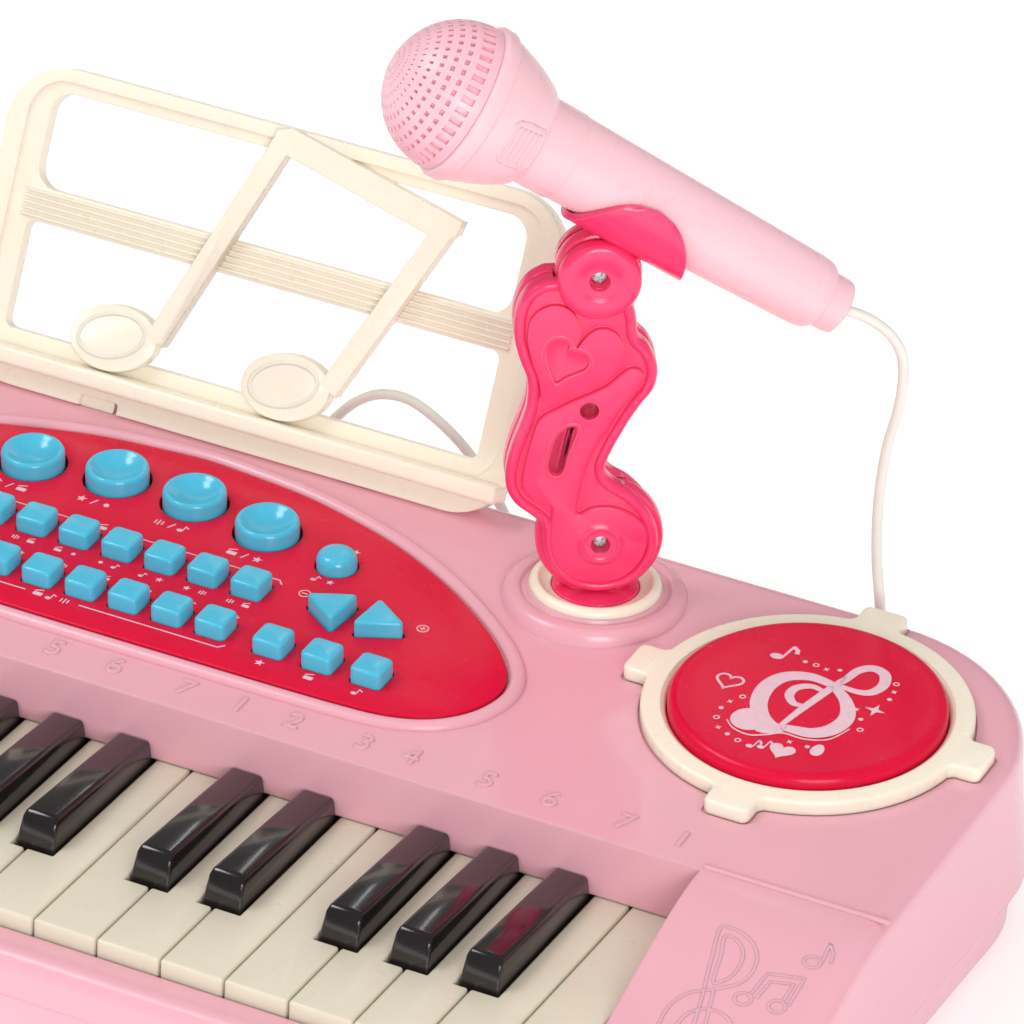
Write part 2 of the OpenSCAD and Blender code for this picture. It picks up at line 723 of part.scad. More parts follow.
module mic_body() {
    color("#fbd5dc") at_mic() {
        rotate_extrude($fn = 96) polygon([[0, 0.5], [dome_r - 2.1, 0.5], [dome_r - 2.1, rim_u], [rim_r - 0.7, rim_u],
            [rim_r, 0.2], [rim_r, 3.4], [rim_r - 0.8, 4.1], [22.2, 4.4], [20.9, 8.8], [18.8, 15], [16.9, 18.7],
            [15, 22], [13.8, 23.4], [13.2, 24], [13.1, 34], [12.4, 44], [10.9, 117], [9.6, 121], [8.6, 121.4],
            [8.4, 126], [6.6, 128.4], [0, 128.6]]);
        translate([2, -18.4, 14]) rotate([-24, 0, 0]) cube([8, 3.6, 11], center = true);
    }
}

module mic_grille() {
    color("#f9bccb") at_mic() difference() {
        translate([0, 0, dome_u]) sphere(r = dome_r, $fn = 96);
        translate([0, 0, dome_u]) sphere(r = dome_r - dome_wall, $fn = 96);
        translate([-40, -40, rim_u - 0.05]) cube([80, 80, 60]);
        translate([0, 0, dome_u]) for (lat = [18, 33, 48, 63], lon = [0 : lat > 60 ? 60 : lat > 40 ? 36 : 24 : 359])
            rotate([0, 0, lon]) rotate([0, 90 + lat, 0]) translate([-0.9, -0.9, dome_r - 4]) cube([1.8, 1.8, 8]);
    }
}

// Cable ----------------------------------------------------------------------------------------
function spline(p, i, t) = let (n = len(p) - 1, a = p[max(i - 1, 0)], b = p[i], c = p[i + 1], d = p[min(i + 2, n)])
    0.5 * (2 * b + (c - a) * t + (2 * a - 5 * b + 4 * c - d) * t * t + (3 * b - a - 3 * c + d) * t * t * t);
function unit(v) = v / norm(v);
function turned(u, from, to) = let (v = cross(from, to), c = from * to)
    u * c + cross(v, u) + v * (v * u) / (1 + c);
function carried(d, i, u) = i == len(d) - 1 ? [u] : concat([u], carried(d, i + 1, turned(u, d[i], d[i + 1])));

module tube(route) {
    line = concat([for (i = [0 : len(route) - 2], s = [0 : CABLE_STEPS - 1])
        spline(route, i, s / CABLE_STEPS)], [route[len(route) - 1]]);
    last = len(line) - 1;
    dirs = [for (i = [0 : last]) unit(line[min(i + 1, last)] - line[max(i - 1, 0)])];
    ups = carried(dirs, 0, unit(cross(dirs[0], [0, 0.2, 1])));
    ring = [for (i = [0 : last], s = [0 : CABLE_SIDES - 1]) let (a = 360 * s / CABLE_SIDES)
        line[i] + cable_d / 2 * (cos(a) * ups[i] + sin(a) * cross(dirs[i], ups[i]))];
    sides = [for (i = [0 : last - 1], s = [0 : CABLE_SIDES - 1]) let (n = (s + 1) % CABLE_SIDES, k = i * CABLE_SIDES)
        [k + s, k + s + CABLE_SIDES, k + n + CABLE_SIDES, k + n]];
    ends = [[for (s = [0 : CABLE_SIDES - 1]) s], [for (s = [CABLE_SIDES - 1 : -1 : 0]) last * CABLE_SIDES + s]];
    polyhedron(points = ring, faces = concat(sides, ends), convexity = 10);
}

module mic_cable() {
    color("#f4f1ea") {
        tube(ROUTE_DOWN);
        tube(ROUTE_UP);
        translate([coil_x, coil_y, 0]) rotate_extrude($fn = 96) translate([coil_in, 0.1]) square([coil_out - coil_in, coil_h]);
    }
}

module mic_plug() {
    color("#f4f1ea") translate([jack_x, half_d, jack_z]) rotate([-90, 0, 0]) {
        rotate_extrude($fn = 48) polygon([[0, 0.3], [4.6, 0.3], [5, 1], [5, 15], [3.4, 18], [2.4, 29], [0, 29]]);
        translate([0, 0, -14]) cylinder(r = 1.75, h = 15, $fn = 24);
    }
}

// Electronics ----------------------------------------------------------------------------------
module circuit_board() {
    color("#2f7d4f") {
        slab([-well_half + 4, -98, 12], [well_half - 4, -36, 13.6]);
        for (i = [1 : WHITE_KEYS]) translate([white_x(i), white_dome_y, 13.5]) cylinder(r = 4, h = dome_top - 13.5, $fn = 32);
        for (k = [1 : BLACK_KEYS]) translate([black_x(k), black_dome_y, 13.5]) cylinder(r = 4, h = dome_top - 13.5, $fn = 32);
        slab([cable_board[0], -37, 12], [cable_board[1], 50, 13.6]);
        slab([10, 44, 12], [112, 104, 13.6]);
        slab([28, 62, 13.5], [52, 86, 16]);
        difference() {
            slab([jack_x - 6, half_d - 20, 12], [jack_x + 6, half_d - 6.4, jack_z + 5]);
            translate([jack_x, half_d - 30, jack_z]) rotate([-90, 0, 0]) cylinder(r = 1.85, h = 40, $fn = 24);
        }
        slab([jack_x - 4, half_d - 24, 12], [14, half_d - 19, 13.6]);
    }
}

upper_shell();
lower_shell();
control_panel();
drum_buttons();
function_buttons();
drum_pad();
drum_ring();
speaker_grille();
speaker();
music_stand();
arm_collar();
arm_foot();
arm_front();
arm_back();
arm_screws();
mic_clip();
mic_body();
mic_grille();
mic_cable();
mic_plug();
battery_door();
circuit_board();
case_screws();
for (i = [1 : WHITE_KEYS]) white_key(i);
for (k = [1 : BLACK_KEYS]) black_key(k);
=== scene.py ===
"""Looks of a toy electronic keyboard with a microphone on a jointed arm.

Lengths in the helpers are millimetres; MM turns them into metres. X is the player's right, Y away, Z up.
"""
import math

import bmesh
import bpy
from mathutils import Matrix, Vector


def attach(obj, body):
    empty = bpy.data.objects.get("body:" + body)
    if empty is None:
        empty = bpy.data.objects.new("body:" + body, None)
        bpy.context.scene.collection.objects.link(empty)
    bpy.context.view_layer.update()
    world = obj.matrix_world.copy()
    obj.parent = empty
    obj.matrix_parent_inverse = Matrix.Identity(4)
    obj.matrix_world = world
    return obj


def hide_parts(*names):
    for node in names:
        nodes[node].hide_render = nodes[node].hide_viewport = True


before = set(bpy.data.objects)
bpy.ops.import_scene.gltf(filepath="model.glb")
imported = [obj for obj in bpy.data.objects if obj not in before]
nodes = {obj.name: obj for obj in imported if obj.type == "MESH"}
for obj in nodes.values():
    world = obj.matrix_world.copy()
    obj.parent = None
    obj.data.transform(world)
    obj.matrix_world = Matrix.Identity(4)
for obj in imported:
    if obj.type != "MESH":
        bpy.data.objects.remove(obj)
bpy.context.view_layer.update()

MM = 0.001
HALF_W = 277.0
HALF_D = 123.0
DECK_Y = -15.0
DECK_Z = 55.3
DECK_TILT = math.radians(3.7)
WALL_Y = -18.5
LIP_Z = 31.0
SLOPE_Y = -105.0
KEY_PITCH = 20.0
KEY_TOP = 36.0
KEY_LEN = 91.0
WHITE_KEYS = 22
BLACK_KEYS = 15
ROUND_X = 215.5
ROUND_Y = 78.2
ARM_X = 134.0
ARM_Y = 91.0
ARM_TURN = math.radians(30)
PIVOT_LOW = (0.0, 83.2)
PIVOT_TOP = (-5.0, 170.0)
MIC_X = -45.6
MIC_Z = 222.8
MIC_TILT = math.radians(30)
STAND_BASE = 128.7
STAND_LEAN = math.radians(23.3)
CABLE_D = 3.2
JACK = (8.0, 123.0, 48.0)

DECK = Matrix.Translation((0, DECK_Y, DECK_Z)) @ Matrix.Rotation(DECK_TILT, 4, "X")
STAND = (DECK @ Matrix.Translation((0, STAND_BASE, 1.4))
         @ Matrix.Rotation(-DECK_TILT - STAND_LEAN, 4, "X") @ Matrix.Rotation(math.pi / 2, 4, "X"))
ARM = Matrix.Translation((ARM_X, ARM_Y, 0)) @ Matrix.Rotation(ARM_TURN, 4, "Z")
ARM_FACE = ARM @ Matrix.Rotation(math.pi / 2, 4, "X")
MIC = ARM @ Matrix.Translation((MIC_X, 0, MIC_Z)) @ Matrix.Rotation(math.pi / 2 + MIC_TILT, 4, "Y")


# Camera ---------------------------------------------------------------------------------------
def make_camera():
    data = bpy.data.cameras.new("camera")
    data.sensor_width = 36
    data.lens = 257
    data.clip_end = 50
    cam = bpy.data.objects.new("camera", data)
    bpy.context.scene.collection.objects.link(cam)
    right = Vector((0.89320, 0.44695, 0.04935))
    up = Vector((-0.25918, 0.42202, 0.86875))
    back = Vector((0.36746, -0.78875, 0.49279))
    turn = Matrix((right, up, back)).transposed().to_4x4()
    cam.matrix_world = Matrix.Translation(Vector((892.6, -1597.9, 1137.0)) * MM) @ turn
    bpy.context.scene.camera = cam
    bpy.context.scene.view_settings.view_transform = "Standard"


# Materials ------------------------------------------------------------------------------------
def node_maker(tree):
    def add(kind, **sockets):
        node = tree.nodes.new(kind)
        for name, value in sockets.items():
            node.inputs[name.replace("_", " ")].default_value = value
        return node
    return add


# The edge argument sets how strongly edges are painted lighter: a painted highlight along them.
def plastic(name, colour, rough=0.24, coat=0.25, mottle=0.035, edge=0.18, skin=0.0, grain=0.06, flow=40.0,
            soft_edge=0.7, shine=0.5):
    """Moulded plastic: slight colour drift, uneven gloss, fine skin texture, rounded edges with a painted
    highlight along them.
    """
    mat = bpy.data.materials.new(name)
    mat.use_nodes = True
    tree = mat.node_tree
    add = node_maker(tree)
    link = tree.links.new
    bsdf = tree.nodes["Principled BSDF"]
    place = add("ShaderNodeTexCoord")

    def noise(scale, detail, roughness):
        node = add("ShaderNodeTexNoise", Scale=scale, Detail=detail, Roughness=roughness)
        link(place.outputs["Object"], node.inputs["Vector"])
        return node.outputs["Fac"]

    def colour_mix(amount, high):
        node = tree.nodes.new("ShaderNodeMix")
        node.data_type = "RGBA"
        node.inputs[7].default_value = (*high, 1)
        link(amount, node.inputs[0])
        return node

    drift = colour_mix(noise(flow, 3.0, 0.55), [min(1.0, c * (1 + mottle)) for c in colour])
    drift.inputs[6].default_value = (*[c * (1 - mottle * 1.6) for c in colour], 1)
    bevel = add("ShaderNodeBevel", Radius=soft_edge * MM)
    bevel.samples = 4
    geometry = add("ShaderNodeNewGeometry")
    dot = tree.nodes.new("ShaderNodeVectorMath")
    dot.operation = "DOT_PRODUCT"
    link(bevel.outputs["Normal"], dot.inputs[0])
    link(geometry.outputs["Normal"], dot.inputs[1])
    # Painted highlight: where the bevelled normal turns away from the face normal, the colour is mixed
    # towards white, by up to the edge amount.
    edge_highlight_amount = add("ShaderNodeMapRange", From_Min=0.985, From_Max=0.78, To_Min=0.0, To_Max=edge)
    link(dot.outputs["Value"], edge_highlight_amount.inputs["Value"])
    edge_highlight_mix = colour_mix(edge_highlight_amount.outputs["Result"], [c + (1 - c) * 0.45 for c in colour])
    link(drift.outputs[2], edge_highlight_mix.inputs[6])
    link(edge_highlight_mix.outputs[2], bsdf.inputs["Base Color"])
    gloss = add("ShaderNodeMapRange", From_Min=0.3, From_Max=0.7, To_Min=rough * 0.82, To_Max=rough * 1.2)
    link(noise(160.0, 4.0, 0.6), gloss.inputs["Value"])
    link(gloss.outputs["Result"], bsdf.inputs["Roughness"])
    bump = add("ShaderNodeBump", Strength=grain, Distance=0.0003)
    link(noise(1400.0, 2.0, 0.5), bump.inputs["Height"])
    link(bevel.outputs["Normal"], bump.inputs["Normal"])
    link(bump.outputs["Normal"], bsdf.inputs["Normal"])
    bsdf.inputs["Specular IOR Level"].default_value = shine
    bsdf.inputs["Coat Weight"].default_value = coat
    bsdf.inputs["Coat Roughness"].default_value = 0.06
    bsdf.inputs["IOR"].default_value = 1.5
    if skin:
        bsdf.inputs["Subsurface Weight"].default_value = skin
        bsdf.inputs["Subsurface Radius"].default_value = (0.6, 0.3, 0.25)
        bsdf.inputs["Subsurface Scale"].default_value = 0.006
    return mat


def metal(name, colour, rough=0.3):
    mat = plastic(name, colour, rough=rough, coat=0.0, mottle=0.12, edge=0.3, grain=0.25, flow=900.0,
                  soft_edge=0.15)
    mat.node_tree.nodes["Principled BSDF"].inputs["Metallic"].default_value = 1.0
    return mat


# The edge values below set each material's painted highlight along its edges.
SHELL = plastic("shell_pink", (0.79, 0.40, 0.47), rough=0.22, coat=0.12, skin=0.08, mottle=0.02, edge=0.45,
                soft_edge=1.1)
SHELL_DARK = plastic("shell_pink_base", (0.80, 0.44, 0.51), rough=0.34, coat=0.05, mottle=0.035)
CRIMSON = plastic("panel_crimson", (0.69, 0.003, 0.04), rough=0.24, coat=0.0, mottle=0.03, edge=0.06,
                  shine=0.22)
HOT = plastic("arm_hot_pink", (0.94, 0.042, 0.165), rough=0.2, coat=0.1, mottle=0.03, skin=0.1, edge=0.3,
              soft_edge=0.5)
BLUE = plastic("button_blue", (0.075, 0.50, 0.71), rough=0.2, coat=0.2, mottle=0.04, edge=0.35, skin=0.06)
CREAM = plastic("trim_cream", (0.90, 0.83, 0.68), rough=0.3, coat=0.1, mottle=0.025, skin=0.12, edge=0.3)
IVORY = plastic("key_ivory", (0.72, 0.665, 0.53), rough=0.32, coat=0.1, mottle=0.03, flow=60.0, skin=0.08)
EBONY = plastic("key_black", (0.014, 0.010, 0.011), rough=0.14, coat=0.5, mottle=0.3, edge=0.05, grain=0.04)
MIC_PINK = plastic("mic_pink", (0.93, 0.56, 0.62), rough=0.3, coat=0.08, mottle=0.02, skin=0.12, edge=0.3)
GRILLE_PINK = plastic("grille_pink", (0.93, 0.50, 0.58), rough=0.36, coat=0.05, mottle=0.03, skin=0.2,
                      soft_edge=0.25)
CABLE = plastic("cable_white", (0.82, 0.80, 0.74), rough=0.42, coat=0.0, mottle=0.04, flow=120.0,
                grain=0.15)
PRINT = plastic("print_pale", (0.80, 0.55, 0.62), rough=0.45, coat=0.0, mottle=0.08, flow=500.0,
                soft_edge=0.05)
DARK = plastic("inside_dark", (0.03, 0.028, 0.03), rough=0.6, coat=0.0, mottle=0.2)
BOARD = plastic("board_green", (0.03, 0.16, 0.07), rough=0.4, coat=0.2, mottle=0.15, flow=300.0)
STEEL = metal("screw_steel", (0.55, 0.55, 0.57))


# Mesh helpers ---------------------------------------------------------------------------------
def shade(mesh, angle):
    """Smooth shading, with edges sharper than the angle kept sharp."""
    for face in mesh.polygons:
        face.use_smooth = True
    sharp = mesh.attributes.get("sharp_edge")
    if sharp is None:
        sharp = mesh.attributes.new("sharp_edge", "BOOLEAN", "EDGE")
    bm = bmesh.new()
    bm.from_mesh(mesh)
    limit = math.radians(angle)
    flags = [len(e.link_faces) == 2 and e.calc_face_angle(0.0) > limit for e in bm.edges]
    bm.free()
    mesh.attributes["sharp_edge"].data.foreach_set("value", flags)


def show(obj, mat, body, node=None, smooth=35.0):
    """Gives a piece its material, rides it on its body and lets it stand in for the CAD node."""
    obj.data.materials.clear()
    obj.data.materials.append(mat)
    if smooth:
        shade(obj.data, smooth)
    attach(obj, body)
    if node:
        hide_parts(node)


def new_mesh(name, verts, faces, matrix=Matrix.Identity(4)):
    mesh = bpy.data.meshes.new(name)
    mesh.from_pydata([(matrix @ Vector(v)) * MM for v in verts], [], faces)
    mesh.validate()
    obj = bpy.data.objects.new(name, mesh)
    bpy.context.scene.collection.objects.link(obj)
    bm = bmesh.new()
    bm.from_mesh(mesh)
    bmesh.ops.recalc_face_normals(bm, faces=bm.faces)
    bm.to_mesh(mesh)
    bm.free()
    return obj


def bake(obj):
    """Turns the object's modifiers into plain mesh."""
    bpy.context.view_layer.update()
    graph = bpy.context.evaluated_depsgraph_get()
    made = bpy.data.meshes.new_from_object(obj.evaluated_get(graph))
    obj.modifiers.clear()
    obj.data = made
    return obj


def bevelled(obj, width, segments=3, angle=30.0):
    mod = obj.modifiers.new("bevel", "BEVEL")
    mod.width = width * MM
    mod.segments = segments
    mod.limit_method = "ANGLE"
    mod.angle_limit = math.radians(angle)
    mod.use_clamp_overlap = True
    return bake(obj)


def cut(obj, *cutters, operation="DIFFERENCE"):
    for cutter in cutters:
        mod = obj.modifiers.new("cut", "BOOLEAN")
        mod.operation = operation
        mod.solver = "MANIFOLD"
        mod.object = cutter
        bake(obj)
        bpy.data.objects.remove(cutter)
    return obj


def prism(name, outline, z0, z1, matrix=Matrix.Identity(4)):
    n = len(outline)
    verts = [(x, y, z0) for x, y in outline] + [(x, y, z1) for x, y in outline]
    faces = [list(range(n))[::-1], list(range(n, 2 * n))]
    faces += [(i, (i + 1) % n, n + (i + 1) % n, n + i) for i in range(n)]
    return new_mesh(name, verts, faces, matrix)


def box(name, low, high, matrix=Matrix.Identity(4)):
    outline = [(low[0], low[1]), (high[0], low[1]), (high[0], high[1]), (low[0], high[1])]
    return prism(name, outline, low[2], high[2], matrix)


def lathe(name, profile, matrix=Matrix.Identity(4), steps=96):
    """Turns (radius, height) points round the matrix's Z axis; a radius of 0 closes an end."""
    verts = []
    rings = []
    for r, z in profile:
        if r < 1e-6:
            rings.append([len(verts)])
            verts.append((0, 0, z))
        else:
            rings.append(list(range(len(verts), len(verts) + steps)))
            verts += [(r * math.cos(2 * math.pi * i / steps), r * math.sin(2 * math.pi * i / steps), z)
                      for i in range(steps)]
    faces = []
    closed = profile[0][0] > 1e-6
    pairs = list(zip(rings, rings[1:])) + ([(rings[-1], rings[0])] if closed else [])
    for a, b in pairs:
        for i in range(steps):
            j = (i + 1) % steps
            if len(a) == 1:
                faces.append((a[0], b[i], b[j]))
            elif len(b) == 1:
                faces.append((a[i], a[j], b[0]))
            else:
                faces.append((a[i], a[j], b[j], b[i]))
    return new_mesh(name, verts, faces, matrix)


def disc_outline(x, y, r, steps=48):
    return [(x + r * math.cos(2 * math.pi * i / steps), y + r * math.sin(2 * math.pi * i / steps))
            for i in range(steps)]


def oval(x, y, a, b, steps=12, turn=0.0):
    """An ellipse with half widths a and b, turned by an angle in radians."""
    c, s = math.cos(turn), math.sin(turn)
    angles = [2 * math.pi * k / steps for k in range(steps)]
    return [(x + a * math.cos(t) * c - b * math.sin(t) * s, y + a * math.cos(t) * s + b * math.sin(t) * c)
            for t in angles]


def star_outline(x, y, even, odd, points):
    """A star that points up, with its corners at two distances by turns."""
    corners = [((even, odd)[k % 2], k * math.pi / points) for k in range(2 * points)]
    return [(x + r * math.sin(a), y + r * math.cos(a)) for r, a in corners][::-1]


def arc(cx, cy, r, a0, a1, steps=12):
    return [(cx + r * math.cos(math.radians(a0 + (a1 - a0) * i / steps)),
             cy + r * math.sin(math.radians(a0 + (a1 - a0) * i / steps))) for i in range(steps + 1)]


def rounded_box(x0, y0, x1, y1, r, steps=8):
    return (arc(x1 - r, y1 - r, r, 0, 90, steps) + arc(x0 + r, y1 - r, r, 90, 180, steps)
            + arc(x0 + r, y0 + r, r, 180, 270, steps) + arc(x1 - r, y0 + r, r, 270, 360, steps))


def smooth_loop(points, steps=6, closed=True):
    """A Catmull-Rom curve through the points."""
    n = len(points)
    out = []
    for i in range(n if closed else n - 1):
        def at(k):
            return Vector(points[k % n] if closed else points[max(0, min(n - 1, k))])
        a, b, c, d = at(i - 1), at(i), at(i + 1), at(i + 2)
        for s in range(steps):
            t = s / steps
            p = 0.5 * (2 * b + (c - a) * t + (2 * a - 5 * b + 4 * c - d) * t * t
                       + (3 * b - a - 3 * c + d) * t ** 3)
            out.append(tuple(p))
    if not closed:
        out.append(tuple(points[-1]))
    return out


def stroke(name, points, radius, matrix=Matrix.Identity(4), closed=False, flat=1.0, sides=8):
    """A raised line: a round (or flattened) tube along points given in the matrix's frame."""
    pts = [Vector(p if len(p) == 3 else (*p, 0.0)) for p in points]
    n = len(pts)
    verts = []
    for i, p in enumerate(pts):
        before = pts[i - 1] if closed or i > 0 else pts[0]
        after = pts[(i + 1) % n] if closed or i < n - 1 else pts[-1]
        along = (after - before).normalized()
        side = along.cross(Vector((0, 0, 1)))
        side = side.normalized() if side.length > 1e-4 else Vector((1, 0, 0))
        up = side.cross(along).normalized()
        verts += [p + radius * (math.cos(2 * math.pi * k / sides) * side
                                + flat * math.sin(2 * math.pi * k / sides) * up) for k in range(sides)]
    faces = []
    for i in range(n if closed else n - 1):
        a, b = i * sides, ((i + 1) % n) * sides
        faces += [(a + k, a + (k + 1) % sides, b + (k + 1) % sides, b + k) for k in range(sides)]
    if not closed:
        faces += [list(range(sides))[::-1], list(range((n - 1) * sides, n * sides))]
    return new_mesh(name, verts, faces, matrix)


def join(name, parts):
    """One object from several."""
    target = parts[0]
    bm = bmesh.new()
    for part in parts:
        bm.from_mesh(part.data)
    bm.to_mesh(target.data)
    bm.free()
    for part in parts[1:]:
        bpy.data.objects.remove(part)
    target.name = name
    return target


# Cable ----------------------------------------------------------------------------------------
ROUTE_DOWN = [(191.2, 124.0, 158.35), (198, 128, 155.3), (204, 131.8, 149.5), (207.2, 134.3, 141),
              (207, 135, 127), (204, 135, 110), (203, 135, 92), (204, 135, 74), (206.5, 135, 57),
              (207.5, 136, 40), (207, 138, 24), (204, 140.5, 10.5), (197, 141.5, 3.6), (187, 140.3, 1.8),
              (176, 138.6, 1.7), (163, 137.9, 1.7), (150, 137.8, 1.7)]
ROUTE_UP = [(150, 137.8, 4.9), (138, 138.2, 4.4), (126, 140, 2.3), (113, 143.5, 1.7), (102, 147.5, 3.5),
            (92, 151, 11), (84, 153.5, 22), (76, 155.5, 35), (68, 156.5, 47), (59, 157, 57),
            (49, 157.5, 64), (38, 158.5, 68), (27, 160.5, 66), (18, 162, 60), (12, 161.5, 53.5),
            (8.6, 158, 49), (8, 152.1, 48)]
COIL = (150.0, 160.0)
COIL_OUT = 22.2
COIL_IN = 14.0
COIL_TURNS = 2.5


def coil_points():
    """Two flat layers of turns, inwards on the table and outwards on top."""
    points = []
    steps = int(COIL_TURNS * 24)
    for layer in (0, 1):
        for i in range(1, steps + 1):
            t = i / steps
            angle = math.radians(-90 - 360 * COIL_TURNS * (t + layer))
            r = COIL_OUT + (COIL_IN - COIL_OUT) * (t if layer == 0 else 1 - t)
            climb = 0.0 if layer == 0 else min(1.0, t * 6)
            points.append((COIL[0] + r * math.cos(angle), COIL[1] + r * math.sin(angle), 1.7 + 3.2 * climb))
    return points


def make_cable(plug):
    route = smooth_loop(ROUTE_DOWN, 4, closed=False)[:-1] + coil_points()
    route += smooth_loop(ROUTE_UP, 4, closed=False)[1:]
    curve = bpy.data.curves.new("cable", "CURVE")
    curve.dimensions = "3D"
    curve.bevel_depth = CABLE_D / 2 * MM
    curve.bevel_resolution = 4
    curve.use_fill_caps = True
    spline = curve.splines.new("POLY")
    spline.points.add(len(route) - 1)
    for point, place in zip(spline.points, route):
        point.co = (*[c * MM for c in place], 1)
    spline.use_smooth = True
    curve.materials.append(CABLE)
    obj = bpy.data.objects.new("cable", curve)
    bpy.context.scene.collection.objects.link(obj)
    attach(obj, "root")
    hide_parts("mic_cable")


# Shell ----------------------------------------------------------------------------------------
def top_height(y):
    """Height of the case's top face, from the front lip up the cheeks to the sloping deck."""
    if y >= DECK_Y:
        return DECK_Z + (y - DECK_Y) * math.tan(DECK_TILT)
    t = max(0.0, (y - SLOPE_Y) / (DECK_Y - SLOPE_Y))
    return LIP_Z + (DECK_Z - LIP_Z) * t * t * (3 - 2 * t)


def on_top(x, y, lift=0.0):
    return (x, y, top_height(y) + lift)


FRONT_R = 24.0
BACK_R = 57.0


def case_solid(name, inset, drop, bottom, edge, flare):
    """A closed block with the case's plan and profile: a grid on top, a rolled edge, flared sides."""
    w, d = HALF_W - inset, HALF_D - inset
    rf, rb = FRONT_R - inset, BACK_R - inset
    wi, di, rfi, rbi = w - edge, d - edge, rf - edge, rb - edge
    ys = [-di + rfi * (1 - math.cos(math.radians(a))) for a in range(0, 91, 10)]
    low, high = -di + rfi, di - rbi
    ys += [low + (high - low) * i / 40 for i in range(1, 41)]
    ys += [high + rbi * math.sin(math.radians(a)) for a in range(6, 91, 6)]

    def half_at(y):
        if y < low:
            return wi - rfi + math.sqrt(max(0.0, rfi ** 2 - (low - y) ** 2))
        if y > high:
            return wi - rbi + math.sqrt(max(0.0, rbi ** 2 - (y - high) ** 2))
        return wi

    def normal_at(x, y, row_end):
        if y <= low + 1e-6 and abs(x) > wi - rfi - 1e-6:
            v = Vector((x - math.copysign(wi - rfi, x), y - low, 0))
        elif y >= high - 1e-6 and abs(x) > wi - rbi - 1e-6:
            v = Vector((x - math.copysign(wi - rbi, x), y - high, 0))
        else:
            v = Vector((math.copysign(1, x), 0, 0)) if row_end else Vector((0, math.copysign(1, y), 0))
        return v.normalized() if v.length > 1e-6 else Vector((0, math.copysign(1, y), 0))

    cols = 80
    verts = [(half_at(y) * (2 * c / cols - 1), y,
              top_height(y) - drop) for y in ys for c in range(cols + 1)]
    faces = []
    for r in range(len(ys) - 1):
        for c in range(cols):
            a = r * (cols + 1) + c
            faces.append((a, a + 1, a + cols + 2, a + cols + 1))
    loop = [r * (cols + 1) for r in range(len(ys))]
    loop += [(len(ys) - 1) * (cols + 1) + c for c in range(1, cols + 1)]
    loop += [r * (cols + 1) + cols for r in range(len(ys) - 2, -1, -1)]
    loop += [c for c in range(cols - 1, 0, -1)]
    ends = {r * (cols + 1) for r in range(len(ys))} | {r * (cols + 1) + cols for r in range(len(ys))}
    base = [(Vector(verts[i]), normal_at(verts[i][0], verts[i][1], i in ends)) for i in loop]
    previous = loop
    rolls = [(edge * math.sin(math.radians(a)), edge * (1 - math.cos(math.radians(a)))) for a in range(15,
                                                                                                       91,
                                                                                                       15)]
    sides = [i / 6 for i in range(1, 7)]
    for kind, value in [("roll", v) for v in rolls] + [("side", v) for v in sides] + [("tuck", 1.0)]:
        ring = []
        for place, out in base:
            z_edge = place.z - edge
            if kind == "roll":
                offset, z = value[0], place.z - value[1]
            elif kind == "side":
                z = z_edge + (bottom + 1.8 - z_edge) * value
                offset = edge + flare * out.x ** 2 * value ** 1.2
            else:
                z = bottom
                offset = edge + flare * out.x ** 2 - (1.4 if edge > 1 else 0.0)
            ring.append(len(verts))
            verts.append(tuple(Vector((place.x, place.y, z)) + out * offset))
        n = len(loop)
        faces += [(previous[i], previous[(i + 1) % n], ring[(i + 1) % n], ring[i]) for i in range(n)]
        previous = ring
    faces.append(tuple(previous))
    return new_mesh(name, verts, faces)


def panel_outline(grow=0.0):
    """Outline of the control panel on the deck: a long bowed far edge and round ends."""
    half = [(0, 115), (12, 114.2), (34, 111.6), (53, 106.8), (73, 99.8), (93, 89.4), (110, 77.6), (123, 66),
            (131, 55), (133, 45), (129.6, 34), (121.5, 25.6), (110, 21), (95, 19.6), (70, 19.1),
            (35, 18.8), (0, 18.6)]
    loop = half + [(-x, y) for x, y in half[-2:0:-1]]
    loop = smooth_loop([(x, y, 0) for x, y in loop], 5)
    points = [Vector((p[0], p[1])) for p in loop]
    out = []
    n = len(points)
    for i, p in enumerate(points):
        along = (points[(i + 1) % n] - points[i - 1]).normalized()
        out.append(tuple(p + Vector((-along.y, along.x)) * grow))
    return out


RING_R = 48.0
LUG_TIP = 56.0
LUG_HALF = 7.0


def lugged_outline(grow=0.0):
    """A circle with four blunt rounded lugs on it, seen along the axis."""
    r = RING_R + grow
    half = LUG_HALF + grow
    start = math.degrees(math.asin(half / r))
    tip = LUG_TIP + grow
    quarter = [(r * math.cos(math.radians(-start)) + 1.2, -half)]
    quarter += arc(tip - 2.4, -half + 2.4, 2.4, -90, 0, 4) + arc(tip - 2.4, half - 2.4, 2.4, 0, 90, 4)
    quarter += [(r * math.cos(math.radians(start)) + 1.2, half)]
    quarter += arc(0, 0, r, start + 1.5, 90 - start - 1.5, 16)
    loop = []
    for turn in range(4):
        c, s = ((1, 0), (0, 1), (-1, 0), (0, -1))[turn]
        loop += [(x * c - y * s, x * s + y * c) for x, y in quarter]
    return loop


